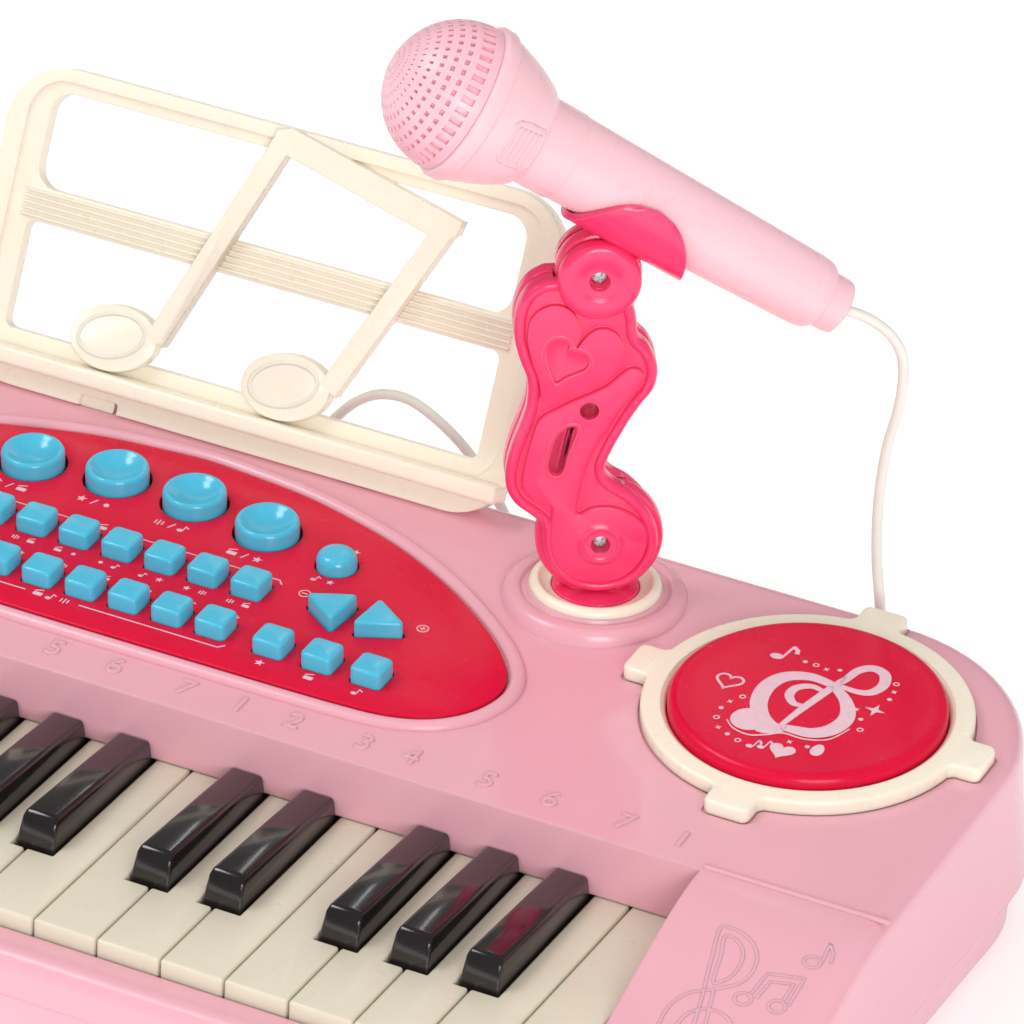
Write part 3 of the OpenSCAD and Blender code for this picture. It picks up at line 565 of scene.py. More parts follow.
def make_shell():
    shell = case_solid("shell", 0.0, 0.0, 17.0, 6.0, 4.5)
    hollow = case_solid("hollow", 2.6, 2.6, 14.0, 0.6, 0.0)
    well_half = WHITE_KEYS * KEY_PITCH / 2 + 0.5
    front = WALL_Y - KEY_LEN - 1
    frame_block = box("well_walls", (-well_half - 2.4, front - 2.4, 0), (well_half + 2.4, WALL_Y + 2.4, 90))
    cut(hollow, frame_block)
    cut(shell, hollow)
    cut(shell, box("well", (-well_half, front, 0), (well_half, WALL_Y, 90)))
    cut(shell, box("tails", (-well_half, WALL_Y - 1, 0), (well_half, WALL_Y + 4, KEY_TOP + 0.3)))
    cut(shell, prism("panel_seat", panel_outline(0.35), -1.0, 12, DECK))
    cut(shell, prism("panel_hole", panel_outline(-7), -12, 2, DECK))
    for side in (-1, 1):
        place = DECK @ Matrix.Translation((side * ROUND_X, ROUND_Y, 0))
        cut(shell, prism("round_hole", disc_outline(0, 0, 42.2, 96), -12, 12, place))
        cut(shell, prism("round_seat", lugged_outline(0.55), -0.8, 8, place))
        cut(shell, box("stand_slot", (side * 45 - 6.6, -14, -1.9), (side * 45 + 6.6, 12, 1.9), STAND))
    cut(shell,
        prism("arm_hole", disc_outline(0, 0, 17.3, 64), 40, 90, Matrix.Translation((ARM_X, ARM_Y, 0))))
    cut(shell, prism("jack_hole", disc_outline(0, 0, 4.6, 32), -8, 8,
                     Matrix.Translation(JACK) @ Matrix.Rotation(-math.pi / 2, 4, "X")))
    show(shell, SHELL, "root", "upper_shell", 32)
    return shell


def make_shell_details():
    here = Matrix.Translation((ARM_X, ARM_Y, 0))
    boss = lathe("arm_boss",
                 [(17.25, 54), (17.25, 65.2), (19.9, 65.2), (20.4, 64.2), (21.6, 64.1), (22.3, 65.0),
                              (24.6, 65.3), (26.2, 64.8), (27.2, 63.4), (27.8, 59.5), (23, 56.0)], here)
    show(boss, SHELL, "root", smooth=40)
    bead_path = [(x, y, 0.3) for x, y in panel_outline(3.1)]
    bead = stroke("panel_bead", bead_path, 2.3, DECK, closed=True, flat=0.85, sides=16)
    show(bead, SHELL, "root")
    numbers = []
    row = {1: 210, 7: 192, 6: 169, 5: 149, 4: 125, 3: 110, 2: 87.4}
    marks = [(str(k), x) for k, x in row.items()]
    for octave in (1, 2):
        marks += [(str(k), x - 140 * octave) for k, x in row.items()]
    marks += [("1", 210 - 420)]
    for text, x in marks:
        curve = bpy.data.curves.new("numeral", "FONT")
        curve.body = text
        curve.size = 10.4 * MM
        curve.extrude = 0.3 * MM
        curve.bevel_depth = 0.14 * MM
        curve.align_x = "CENTER"
        obj = bpy.data.objects.new("numeral", curve)
        bpy.context.scene.collection.objects.link(obj)
        bpy.context.view_layer.update()
        mesh = bpy.data.meshes.new_from_object(obj.evaluated_get(bpy.context.evaluated_depsgraph_get()))
        bpy.data.objects.remove(obj)
        move = Matrix.Scale(MM, 4) @ DECK @ Matrix.Translation((x, 3.6, 0.12)) @ Matrix.Scale(1 / MM, 4)
        mesh.transform(move)
        piece = bpy.data.objects.new("numeral", mesh)
        bpy.context.scene.collection.objects.link(piece)
        numbers.append(piece)
    numerals = join("numerals", numbers)
    show(numerals, SHELL, "root", smooth=30)


def densified(points, steps=6):
    """Straight runs between the points, in short steps, so that they follow the slope."""
    out = []
    for (x0, y0), (x1, y1) in zip(points, points[1:]):
        out += [(x0 + (x1 - x0) * k / steps, y0 + (y1 - y0) * k / steps, 0.0) for k in range(steps)]
    return out + [(*points[-1], 0.0)]


def make_cheeks():
    """Raised outlines on the two cheeks: a clef, notes and the lip where the slope meets the deck."""
    loop = [(241.0, -58.3), (239.8, -54.0), (238.0, -46.8), (235.8, -37.6), (238.4, -36.4), (242.0, -36.8),
            (246.4, -39.0), (249.6, -42.8), (250.6, -47.6), (248.8, -52.4), (243.0, -56.4),
            (237.5, -59.4), (234.3, -64.4), (234.0, -70.8), (236.2, -77.6), (241.0, -82.2),
            (247.4, -83.4), (253.4, -80.6), (256.6, -75.0), (255.6, -68.4), (250.6, -63.2),
            (244.6, -62.4), (240.2, -65.2), (238.9, -70.0), (241.0, -75.0), (245.6, -77.4),
            (250.0, -75.2), (251.2, -71.0)]
    inner = [(241.9, -54.2), (240.2, -46.1), (238.3, -39.8), (241.1, -39.4), (244.6, -41.7), (246.3, -45.5),
             (246.1, -50.2), (244.0, -53.4)]
    stem = [(243.3, -56.8), (244.5, -61.2), (245.8, -66.4), (247.2, -74.0), (248.4, -82.0), (248.8, -88.0),
            (246.6, -92.0), (242.6, -92.6), (240.6, -89.6), (242.2, -87.0)]
    stem_left = [(241.0, -58.3), (242.0, -63.0), (243.4, -70.0), (244.8, -78.0), (245.8, -86.0)]
    beam_out = [(253.2, -55.4), (254.7, -46.9), (265.0, -44.9), (264.6, -54.6)]
    beam_in = [(255.4, -55.2), (256.6, -49.0), (263.0, -47.7), (262.6, -54.4)]
    flag = [(266.9, -38.4), (266.2, -31.4), (268.4, -34.2), (269.4, -37.8)]
    heads = [oval(x, y, 2.4, 1.9) for x, y in ((252.0, -56.4), (261.8, -55.6), (264.4, -39.2))]
    strokes = [(loop, False, 5), (inner, True, 4), (stem, False, 5), (stem_left, False, 3)]
    strokes += [(line, False, 0) for line in (beam_out, beam_in, flag)]
    strokes += [(head, True, 2) for head in heads]
    for side, name in ((1, "right"), (-1, "left")):
        parts = []
        for points, closed, steps in strokes:
            path = smooth_loop([(x, y, 0) for x, y in points], steps,
                               closed) if steps else densified(points)
            path = [on_top(side * p[0], p[1], 0.02) for p in path]
            parts.append(stroke("relief", path, 0.6, closed=closed, flat=0.5))
        relief = join("cheek_relief_" + name, parts)
        show(relief, SHELL, "root")
        lip = [on_top(side * x, -16.6, 0.1) for x in (221.0, 235, 250, 265, 277.0)]
        line = stroke("cheek_lip_" + name, lip, 1.1, flat=0.6, sides=12)
        show(line, SHELL, "root")


# Keys -----------------------------------------------------------------------------------------
BLACK_AFTER = (1, 2, 4, 5, 6)
BLACK_SHIFT = (-1.5, 1.5, -1.8, 0.0, 1.8)
BLACK_FRONT = WALL_Y - 58.0
NOTCH_GAP = 1.6
NOTCH_HALF = 6.8
TAIL_SHIFT = (-3.6, 0.0, 3.6, -3.7, -1.1, 1.1, 3.7)


def white_x(i):
    return (i - (WHITE_KEYS + 1) / 2) * KEY_PITCH


def black_x(k):
    octave, b = divmod(k - 1, 5)
    return (7 * octave + BLACK_AFTER[b] - WHITE_KEYS / 2) * KEY_PITCH + BLACK_SHIFT[b]


def key_tail(x, width, front):
    """A key's tail: an arm back to the rail and the two cheeks of the slot that sits on it."""
    spans = ((front, 28.5, 30.6, 34), (20.5, 22.3, 23.6, 31), (27.7, 29.5, 23.6, 31))
    return [box("tail", (x - width / 2, y0, z0), (x + width / 2, y1, z1)) for y0, y1, z0, z1 in spans]


def make_white_key(i):
    x = white_x(i)
    half = (KEY_PITCH - 0.8) / 2
    y0, y1 = WALL_Y - KEY_LEN, WALL_Y + 1.2
    notch_y = BLACK_FRONT - NOTCH_GAP
    near = [black_x(k) for k in range(1, BLACK_KEYS + 1) if abs(black_x(k) - x) < KEY_PITCH / 2 + 5]
    right = min([b - NOTCH_HALF for b in near if b > x], default=None)
    left = max([b + NOTCH_HALF for b in near if b < x], default=None)
    outline = [(x - half, y0), (x + half, y0)]
    outline += [(x + half, y1)] if right is None else [(x + half, notch_y), (right, notch_y), (right, y1)]
    outline += [(x - half, y1)] if left is None else [(left, y1), (left, notch_y), (x - half, notch_y)]
    top = bevelled(prism("white_key_top_%02d" % i, outline, 27.0, KEY_TOP), 0.8, 3, 30)
    shift = TAIL_SHIFT[(i - 1) % 7] if i < WHITE_KEYS else 0.0
    tail = key_tail(x + shift, 7.0, y1 - 1.5)
    post = box("post", (x - 2.5, -91.5, 20.4), (x + 2.5, -88.5, 27.5))
    key = join(top.name, [top, *tail, post])
    show(key, IVORY, "white_key_%02d" % i, "white_key_%02d" % i, 40)


def make_black_key(k):
    x = black_x(k)
    y0, y1 = BLACK_FRONT, WALL_Y - 0.35
    verts = []
    levels = ((6.1, 33.0, 33.0, 0.0), (6.1, 36.4, 36.6, 0.3), (5.5, 40.8, 43.0, 2.4),
              (4.9, 42.2, 45.0, 4.2))
    for half, z_back, z_front, set_back in levels:
        verts += [(x - half, y0 + set_back, z_front), (x + half, y0 + set_back, z_front)]
        verts += [(x + half, y1, z_back), (x - half, y1, z_back)]
    faces = [(3, 2, 1, 0), (12, 13, 14, 15)]
    for level in range(3):
        a = level * 4
        faces += [(a + i, a + (i + 1) % 4, a + 4 + (i + 1) % 4, a + 4 + i) for i in range(4)]
    cap = bevelled(new_mesh("black_key_cap_%02d" % k, verts, faces), 1.0, 4, 22)
    stem = box("stem", (x - 4.2, y0 + 2.5, 27), (x + 4.2, y1 - 2, 34))
    tail = key_tail(x, 6.0, y1 - 4)
    post = box("post", (x - 2.5, -47.5, 18.9), (x + 2.5, -44.5, 27.5))
    key = join(cap.name, [cap, stem, *tail, post])
    show(key, EBONY, "black_key_%02d" % k, "black_key_%02d" % k, 45)


# Control panel --------------------------------------------------------------------------------
PANEL_TOP = 1.5
BIG_BUTTONS = ((-45, 88.5), (-18.3, 92.5), (8.3, 92.0), (35, 88.0))
ROW_FAR = tuple((-55.5 + i * 14.4, 59.0) for i in range(8))
ROW_NEAR = tuple((-54.8 + i * 14.4, 36.0) for i in range(8))
RECORD_ROW = tuple((65.4 + i * 16, 35.2) for i in range(3))
LEFT_COLUMN = tuple((-97.4 + i * 16, 35.2) for i in range(3))
VOLUME_PAIR = ((72.3, 58.2, -1), (87.5, 58.7, 1))
LEFT_PAIR = ((-87.5, 58.2, -1), (-72.3, 58.7, 1))
TRIANGLE_TURN = 25.0
SMALL_ROUND = ((61.4, 82.0), (-70.0, 82.0))


def square_outline(x, y, half, r=1.6):
    return rounded_box(x - half, y - half, x + half, y + half, r, 4)


def triangle_outline(x, y, way, shrink=0.0):
    """A triangle with round corners, turned a little from the rows, pointing up the panel or down it."""
    r = max(0.3, 1.0 - 0.5 * shrink)
    reach = 2 * (4.5 - shrink - r)
    out = []
    for corner in (90, 210, 330):
        a = math.radians(corner)
        out += arc(reach * math.cos(a), reach * math.sin(a), r, corner - 60, corner + 60, 5)
    t = math.radians(TRIANGLE_TURN)
    turned = [(px * math.cos(t) - py * math.sin(t), px * math.sin(t) + py * math.cos(t)) for px, py in out]
    return [(x + px * way, y + py * way) for px, py in turned]


def make_panel():
    plate = prism("control_panel", panel_outline(0.0), -0.7, PANEL_TOP, DECK)
    plate = bevelled(plate, 0.6, 3, 50)
    back = prism("panel_back", panel_outline(-7.6), -2.6, 0.3, DECK)
    cut(plate, back, operation="UNION")
    for x, y in BIG_BUTTONS:
        cut(plate, prism("hole", disc_outline(x, y, 10.5, 64), -6, 6, DECK))
    for x, y in SMALL_ROUND:
        cut(plate, prism("hole", disc_outline(x, y, 6.6, 48), -6, 6, DECK))
    for x, y in ROW_FAR + ROW_NEAR + RECORD_ROW + LEFT_COLUMN:
        cut(plate, prism("hole", square_outline(x, y, 5.25), -6, 6, DECK))
    for x, y, way in VOLUME_PAIR + LEFT_PAIR:
        cut(plate, prism("hole", triangle_outline(x, y, way, -0.5), -6, 6, DECK))
    show(plate, CRIMSON, "root", "control_panel", 30)


def make_prints():
    """Printed marks on the panel: lines, signs and plain pictograms beside the buttons."""
    z = PANEL_TOP + 0.02
    parts = []

    def flat(outline):
        parts.append(prism("print", outline, z - 0.05, z + 0.05, DECK))

    def line(x0, y0, x1, y1, w=0.42):
        along = Vector((x1 - x0, y1 - y0)).normalized() * (w / 2)
        flat([(x0 - along.y, y0 + along.x), (x0 + along.y, y0 - along.x),
              (x1 + along.y, y1 - along.x), (x1 - along.y, y1 + along.x)][::-1])

    def note(x, y, s=1.0):
        flat(oval(x - 0.9 * s, y - 0.9 * s, 0.95 * s, 0.7 * s))
        line(x - 0.1 * s, y - 0.9 * s, x - 0.1 * s, y + 1.6 * s, 0.35 * s)
        line(x - 0.1 * s, y + 1.5 * s, x + 1.1 * s, y + 0.7 * s, 0.4 * s)

    def drum(x, y, s=1.0):
        flat(rounded_box(x - 1.5 * s, y - 1.1 * s, x + 1.5 * s, y + 0.5 * s, 0.4 * s, 3))
        line(x - 1.6 * s, y + 1.0 * s, x + 0.9 * s, y + 2.0 * s, 0.35 * s)

    def star(x, y, s=1.0):
        flat(star_outline(x, y, 1.6 * s, 0.65 * s, 5))

    def dot(x, y, s=1.0):
        flat(disc_outline(x, y, 0.85 * s, 16))

    def waves(x, y, s=1.0):
        for k in (-1, 0, 1):
            reach = (1.3 - 0.4 * abs(k)) * s
            line(x + k * 1.1 * s, y - reach, x + k * 1.1 * s, y + reach, 0.4)

    signs = (note, star, waves, drum, dot)
    for k, (x, y) in enumerate(BIG_BUTTONS):
        signs[k % 5](x - 4.2, y - 14.2, 1.05)
        line(x - 0.7, y - 15.6, x + 0.7, y - 12.8, 0.4)
        signs[(k + 3) % 5](x + 4.2, y - 14.2, 1.05)
    for k, (x, y) in enumerate(ROW_FAR):
        signs[k % 5](x - 2.6, y - 8.3, 0.8)
        signs[(k + 1) % 5](x + 2.6, y - 8.3, 0.8)
    for k, (x, y) in enumerate(ROW_NEAR):
        signs[(k + 2) % 5](x - 2.4, y + 8.0, 0.75)
        signs[(k + 4) % 5](x + 2.4, y + 8.0, 0.75)
    for k, (x, y) in enumerate(RECORD_ROW + LEFT_COLUMN):
        signs[(k * 2 + 1) % 5](x, y - 8.6, 1.0)
    for x, y in SMALL_ROUND:
        star(x + 1.5, y + 9.0, 1.0)
        note(x - 2.0, y - 8.8, 0.9)
        star(x + 2.4, y - 8.8, 0.8)
    for side in (1, -1):
        for x, sign in ((60.0, "minus"), (98.8, "plus")):
            ring = disc_outline(side * x, 64.6, 1.7, 20)
            for a, b in zip(ring, ring[1:] + ring[:1]):
                line(*a, *b, 0.35)
            line(side * x - 0.9, 64.6, side * x + 0.9, 64.6, 0.4)
            if sign == "plus":
                line(side * x, 63.7, side * x, 65.5, 0.4)
    for row, y, out in ((ROW_FAR, 67.3, -1), (ROW_NEAR, 27.8, 1)):
        x0, x1 = row[0][0] - 4, row[-1][0] + 5.0
        middle = (x0 + x1) / 2
        line(x0, y, middle - 9, y)
        line(middle + 9, y, x1, y)
        line(x0, y, x0 - 1.6, y + 1.8 * out)
        line(x1, y, x1 + 1.6, y + 1.8 * out)
        waves(middle + 4.2, y, 1.0)
        note(middle, y, 1.0)
        drum(middle - 4.6, y, 1.0)
    prints = join("panel_prints", parts)
    show(prints, PRINT, "root", smooth=0)


def cushion_button(name, rings):
    """A moulded cap lofted through outlines, each with its height."""
    n = len(rings[0][0])
    verts = [(x, y, z) for outline, z in rings for x, y in outline]
    faces = [list(range(n))[::-1], list(range((len(rings) - 1) * n, len(rings) * n))]
    for r in range(len(rings) - 1):
        a, b = r * n, (r + 1) * n
        faces += [(a + i, a + (i + 1) % n, b + (i + 1) % n, b + i) for i in range(n)]
    return new_mesh(name, verts, faces, DECK)


def make_buttons():
    top = PANEL_TOP
    drums = []
    profile = [(0, -5), (9.65, -5), (9.65, top + 3.4), (9.5, top + 4.3), (9.0, top + 4.95),
               (8.5, top + 5.1),
               (8.1, top + 4.9), (7.0, top + 3.9), (5.7, top + 3.0), (4.2, top + 2.25), (2.2, top + 1.75),
               (0, top + 1.6)]
    for x, y in BIG_BUTTONS:
        drums.append(lathe("drum_button", profile, DECK @ Matrix.Translation((x, y, 0)), 64))
    drums.append(box("web", (-50, 84, -6.6), (40, 94, -5.2), DECK))
    piece = join("drum_buttons_caps", drums)
    show(piece, BLUE, "drum_buttons", "drum_buttons", 50)
    parts = []
    levels = [(0, -5), (0, top + 4.1), (0.14, top + 4.6), (0.5, top + 4.95), (1.0, top + 5.05)]
    for x, y in ROW_FAR + ROW_NEAR + RECORD_ROW + LEFT_COLUMN:
        rings = [(square_outline(x, y, 4.95 - s, 1.7 - 0.5 * s), z) for s, z in levels]
        parts.append(cushion_button("button", rings))
    for x, y, way in VOLUME_PAIR + LEFT_PAIR:
        rings = [(triangle_outline(x, y, way, s), z) for s, z in levels]
        parts.append(cushion_button("button", rings))
    profile = [(0, -5), (6.1, -5), (6.1, top + 2.4), (5.8, top + 3.6), (5.1, top + 4.5), (4.2, top + 5.0),
               (3.0, top + 5.2), (1.5, top + 5.25), (0, top + 5.25)]
    for x, y in SMALL_ROUND:
        parts.append(lathe("button", profile, DECK @ Matrix.Translation((x, y, 0)), 48))
        parts.append(box("web", (x - 3, 64, -6.6), (x + 3, y, -5.2), DECK))
    parts.append(box("web", (-104, 29, -6.6), (104, 66, -5.2), DECK))
    piece = join("function_buttons_caps", parts)
    show(piece, BLUE, "function_buttons", "function_buttons", 40)


# Drum pad and speaker -------------------------------------------------------------------------
def ring_solid(name, inner, place):
    rim = bevelled(prism(name, lugged_outline(), -0.7, 4.2, place), 1.0, 4, 40)
    bowl = [(0, -3), (inner, -3), (inner, 2.4), (inner + 0.6, 3.4), (inner + 1.6, 4.0), (inner + 1.6, 9),
            (0, 9)]
    return cut(rim, lathe("bowl", bowl, place))


def heart(cx, cy, s, steps=40):
    out = []
    for i in range(steps):
        t = 2 * math.pi * i / steps
        out.append((cx + s * 16 * math.sin(t) ** 3 / 16,
                    cy + s * (13 * math.cos(t) - 5 * math.cos(2 * t) - 2 * math.cos(3 * t)
                              - math.cos(4 * t)) / 16))
    return out[::-1]


def make_drum():
    place = DECK @ Matrix.Translation((ROUND_X, ROUND_Y, 0))
    ring = ring_solid("drum_ring_trim", 40.6, place)
    show(ring, CREAM, "root", "drum_ring", 35)
    skin = [(0, -4), (30, -4), (30, 0.2), (40.3, 0.2), (40.3, 4.6), (39.9, 6.0), (38.9, 6.9), (37.4, 7.2),
            (36.4, 7.1), (30, 7.35), (20, 7.6), (10, 7.75), (0, 7.8)]
    pad = lathe("drum_pad_skin", skin, place, 128)
    show(pad, CRIMSON, "drum_pad", "drum_pad", 35)
    make_drum_print(place)


def make_drum_print(place):
    """The pale ornament on the drum pad: a brushed clef with hearts, notes, a spark and small dots."""
    parts = []

    def height(x, y):
        return 7.86 - 0.6 * (math.hypot(x, y) / 37.0) ** 2

    def patch(points):
        verts = [(x, y, height(x, y)) for x, y in points]
        parts.append(new_mesh("mark", verts, [list(range(len(verts)))], place))

    def ribbon(points, width, closed=False):
        pts = [Vector(p[:2]) for p in points]
        n = len(pts)
        verts = []
        for i, p in enumerate(pts):
            before = pts[i - 1] if closed or i else pts[0]
            after = pts[(i + 1) % n] if closed or i < n - 1 else pts[-1]
            along = (after - before).normalized()
            w = width(i / max(1, n - 1)) if callable(width) else width
            for k in (-1, 1):
                q = p + Vector((-along.y, along.x)) * (k * w / 2)
                verts.append((q.x, q.y, height(q.x, q.y)))
        last = n if closed else n - 1
        faces = [(2 * i, 2 * i + 1, (2 * i + 3) % (2 * n), (2 * i + 2) % (2 * n)) for i in range(last)]
        parts.append(new_mesh("mark", verts, faces, place))

    def brush(widest, *points):
        curve = smooth_loop([(x, y, 0) for x, y in points], 8, closed=False)
        ribbon(curve, lambda t: widest * (0.55 + 0.45 * math.sin(math.pi * t)))

    brush(5.2, (4.0, 8.1), (-3.4, 8.9), (-9.8, 5.6), (-12.4, -1.0), (-11.4, -9.0), (-7.8, -15.2),
          (-2.8, -18.6), (1.3, -18.0))
    brush(2.6, (-0.9, -18.5), (0.9, -8.4), (3.3, 2.7), (5.5, 11.8), (7.7, 18.2))
    brush(3.4, (4.4, 8.0), (5.9, 12.0), (7.2, 18.3), (10.4, 21.6), (14.6, 20.4), (16.6, 15.3), (15.2, 10.2),
          (11.6, 8.4), (6.0, 8.6))
    brush(5.0, (4.2, 7.9), (10.6, 2.4), (14.2, -5.0), (13.0, -12.2), (8.9, -16.4), (4.0, -17.4),
          (0.6, -17.6))
    brush(2.8, (3.5, 3.6), (-1.0, 4.6), (-4.6, 2.0), (-5.0, -2.2), (-2.2, -5.6), (1.4, -5.4))
    patch(disc_outline(-10.0, -18.6, 5.4, 32))
    brush(5.0, (-10.0, -16.0), (-5.0, -20.6), (0.8, -18.2))
    brush(0.7, (-15.6, -21.6), (-12.2, -24.6), (-7.0, -25.6), (-2.4, -23.2), (1.4, -20.4), (8.1, -20.2),
          (14.2, -17.0), (17.3, -9.5))
    ribbon(heart(-23.3, -3.8, 4.0), 0.8, closed=True)
    patch(heart(4.6, -28.3, 3.9))
    drop = [(math.sin(k * math.pi / 12), -math.cos(k * math.pi / 12)) for k in range(24)]
    patch([(13.5 + 1.9 * across, -23.9 + 2.3 * up * (1.5 if up > 0 else 1.0)) for across, up in drop])

    def small_note(x, y, size):
        patch(oval(x, y, size * 1.5, size * 1.1, 16))
        ribbon([(x + 1.25 * size, y), (x + 1.9 * size, y + 5.2 * size)], 0.6 * size)
        flag = ((1.8, 5.0), (3.2, 3.9), (3.5, 2.6))
        ribbon([(x + across * size, y + up * size) for across, up in flag], size)

    small_note(-16.6, 14.2, 1.35)
    small_note(-4.4, -30.4, 0.75)
    small_note(-1.4, -29.4, 0.75)
    patch(star_outline(19.7, 2.4, 3.2, 1.0, 4))
    dots = ((-8.1, 15.3), (-4.6, 15.2), (-1.1, 14.6), (2.5, 16.1), (19.6, 17.5), (20.7, 13.5), (21.1, 9.4),
            (-16.4, -9.3), (-18.6, -13.1), (-19.5, -17.1), (-18.7, -21.9), (-16.1, -26.2), (-12.4, -28.0),
            (-8.5, -29.4), (14.9, 0.2), (18.0, -3.7), (20.0, -8.5), (4.9, -23.4), (10.3, -23.2))
    for k, (x, y) in enumerate(dots):
        if k % 3 == 0:
            patch(disc_outline(x, y, 0.75, 12))
        elif k % 3 == 1:
            ribbon(disc_outline(x, y, 0.8, 12), 0.45, closed=True)
        else:
            patch(star_outline(x, y, 0.45, 1.1, 4))
    art = join("drum_pad_print", parts)
    show(art, PRINT, "drum_pad", smooth=0)


def make_speaker():
    place = DECK @ Matrix.Translation((-ROUND_X, ROUND_Y, 0))
    ring = ring_solid("speaker_ring", 39.0, place)
    dish = lathe("speaker_dish", [(0, 1.0), (39.4, 1.0), (39.4, 2.6), (30, 2.9), (15, 3.2), (0, 3.3)],
                 place)
    holes = []
    for row in range(1, 7):
        count = 7 * row
        for k in range(count):
            a = 2 * math.pi * k / count
            cut_x, cut_y = row * 5.6 * math.cos(a), row * 5.6 * math.sin(a)
            holes.append(prism("hole", disc_outline(cut_x, cut_y, 1.5, 12), -1, 6, place))
    cut(dish, join("holes", holes))
    grille = join("speaker_grille_trim", [ring, dish])
    show(grille, CREAM, "root", "speaker_grille", 35)


# Music stand ----------------------------------------------------------------------------------
STAND_HALF = 94.3
STAND_H = 96.0
STEM_HALF = 3.3
NOTE_FRONT = 6.2


def make_stand():
    outer = rounded_box(-STAND_HALF, -2.4, STAND_HALF, STAND_H, 20, 12)
    frame_piece = prism("music_stand_frame", outer, -2.6, 3.4, STAND)
    upper = rounded_box(-STAND_HALF + 13.5, 58.5, STAND_HALF - 13.5, STAND_H - 7.6, 7, 8)
    lower = rounded_box(-STAND_HALF + 13.5, 14.5, STAND_HALF - 13.5, 48, 3, 6)
    cut(frame_piece, prism("window", upper, -9, 9, STAND), prism("window", lower, -9, 9, STAND))
    sunk = rounded_box(-STAND_HALF + 6.5, 8, STAND_HALF - 6.5, STAND_H - 4.2, 12, 8)
    cut(frame_piece, prism("sunk", sunk, 2.2, 9, STAND))
    cut(frame_piece, prism("notch", rounded_box(-50, -5, -37, 1.0, 1, 4), -9, 9, STAND))
    frame_piece = bevelled(frame_piece, 0.9, 3, 50)
    ledge = box("ledge", (-STAND_HALF + 2, 4.0, -0.5), (STAND_HALF - 2, 9.6, 9.4), STAND)
    cut(frame_piece, bevelled(ledge, 1.5, 4), operation="UNION")
    for side in (-1, 1):
        tab = box("tab", (side * 45 - 6, -8, -1.5), (side * 45 + 6, 3, 1.5), STAND)
        cut(frame_piece, tab, operation="UNION")
    for i in range(5):
        y = 49.5 + i * 1.9
        rib = box("rib", (-STAND_HALF + 11, y - 0.45, 1.2), (STAND_HALF - 11, y + 0.45, 3.1), STAND)
        cut(frame_piece, bevelled(rib, 0.3, 2), operation="UNION")
    stems = []
    for (x0, y0), (x1, y1) in (((-28.5, 23), (-1.5, 91)), ((30.5, 23), (56.5, 80))):
        along = Vector((x1 - x0, y1 - y0)).normalized() * STEM_HALF
        outline = [(x0 - along.y, y0 + along.x), (x0 + along.y, y0 - along.x),
                   (x1 + along.y, y1 - along.x), (x1 - along.y, y1 + along.x)]
        stems.append(prism("stem", outline[::-1], 2.0, NOTE_FRONT, STAND))
    beam = [(-5.2, 87.0), (-4.0, 94.6), (0.6, 96.4), (61.2, 82.6), (60.4, 78.6), (56.4, 74.6), (50, 76.6),
            (0, 88.2)]
    stems.append(prism("beam", beam[::-1], 2.0, NOTE_FRONT, STAND))
    notes = stems[0]
    for other in stems[1:]:
        cut(notes, other, operation="UNION")
    for x in (-42, 17):
        head = oval(x, 20.5, 14.6, 10.2, 48, 0.16)
        cut(notes, prism("head", head, 2.0, NOTE_FRONT, STAND), operation="UNION")
    notes = bevelled(notes, 1.2, 4, 40)
    rims = []
    for x in (-42, 17):
        rim = [(px, py, NOTE_FRONT - 0.1) for px, py in oval(x - 0.8, 21.2, 11.2, 6.6, 48, 0.3)]
        rims.append(stroke("rim", rim, 0.55, STAND, closed=True, flat=0.8))
    stand = join("music_stand_frame", [frame_piece, notes, *rims])
    show(stand, CREAM, "music_stand", "music_stand", 35)


# Microphone arm -------------------------------------------------------------------------------
ARM_T = 7.5
ARM_EDGE = ((-7.5, 68.5), (-12.8, 73.0), (-15.9, 78.8), (-16.9, 84), (-17.6, 89), (-20.6, 92.0),
            (-25.6, 96.0), (-28.2, 101), (-28.6, 107.2), (-27.2, 114.8), (-25.0, 122.0), (-23.6, 128.4),
            (-23.9, 136.4), (-26.4, 143.0), (-28.4, 150.6), (-28.2, 158.6), (-25.6, 165.0),
            (-20.8, 168.6), (-16.8, 169.4), (-15.0, 173.0), (-11.8, 177.4), (-6.5, 180.0), (0.0, 178.9),
            (4.4, 174.6), (5.4, 169.0), (4.4, 163.6), (6.2, 158.0), (7.3, 151.4), (10.8, 147.4),
            (13.4, 141.2), (12.8, 134.8), (9.2, 129.0), (5.6, 122.4), (1.6, 113.4), (0.2, 107.6),
            (2.6, 103.6), (8.0, 100.2), (13.0, 95.0), (16.4, 88.0), (16.6, 80.4), (13.6, 73.4),
            (7.8, 68.6), (0.0, 66.8))
BIG_HEART = ((-10.5, 147.6), (-9.5, 152.6), (-10.6, 157.2), (-13.2, 160.4), (-17.0, 161.6), (-20.8, 160.4),
             (-23.6, 157.6), (-24.6, 153.4), (-24.3, 148.6), (-22.8, 143.0), (-21.0, 138.2),
             (-20.0, 134.0), (-19.6, 130.4), (-16.0, 131.4), (-11.5, 133.4), (-6.4, 135.5), (-2.2, 137.9),
             (0.8, 140.9), (2.7, 144.2), (3.1, 147.6), (2.3, 150.9), (0.2, 153.3), (-2.8, 154.3),
             (-5.8, 153.5), (-8.2, 151.0))
SMALL_HEART = ((-15.8, 136.6), (-17.4, 140.2), (-18.9, 144.2), (-18.8, 148.2), (-16.6, 150.6),
               (-13.9, 150.4), (-12.5, 148.6), (-12.9, 147.2), (-10.5, 147.0), (-8.0, 146.0),
               (-6.6, 143.6), (-7.4, 141.3), (-10.0, 139.8), (-13.0, 138.4))
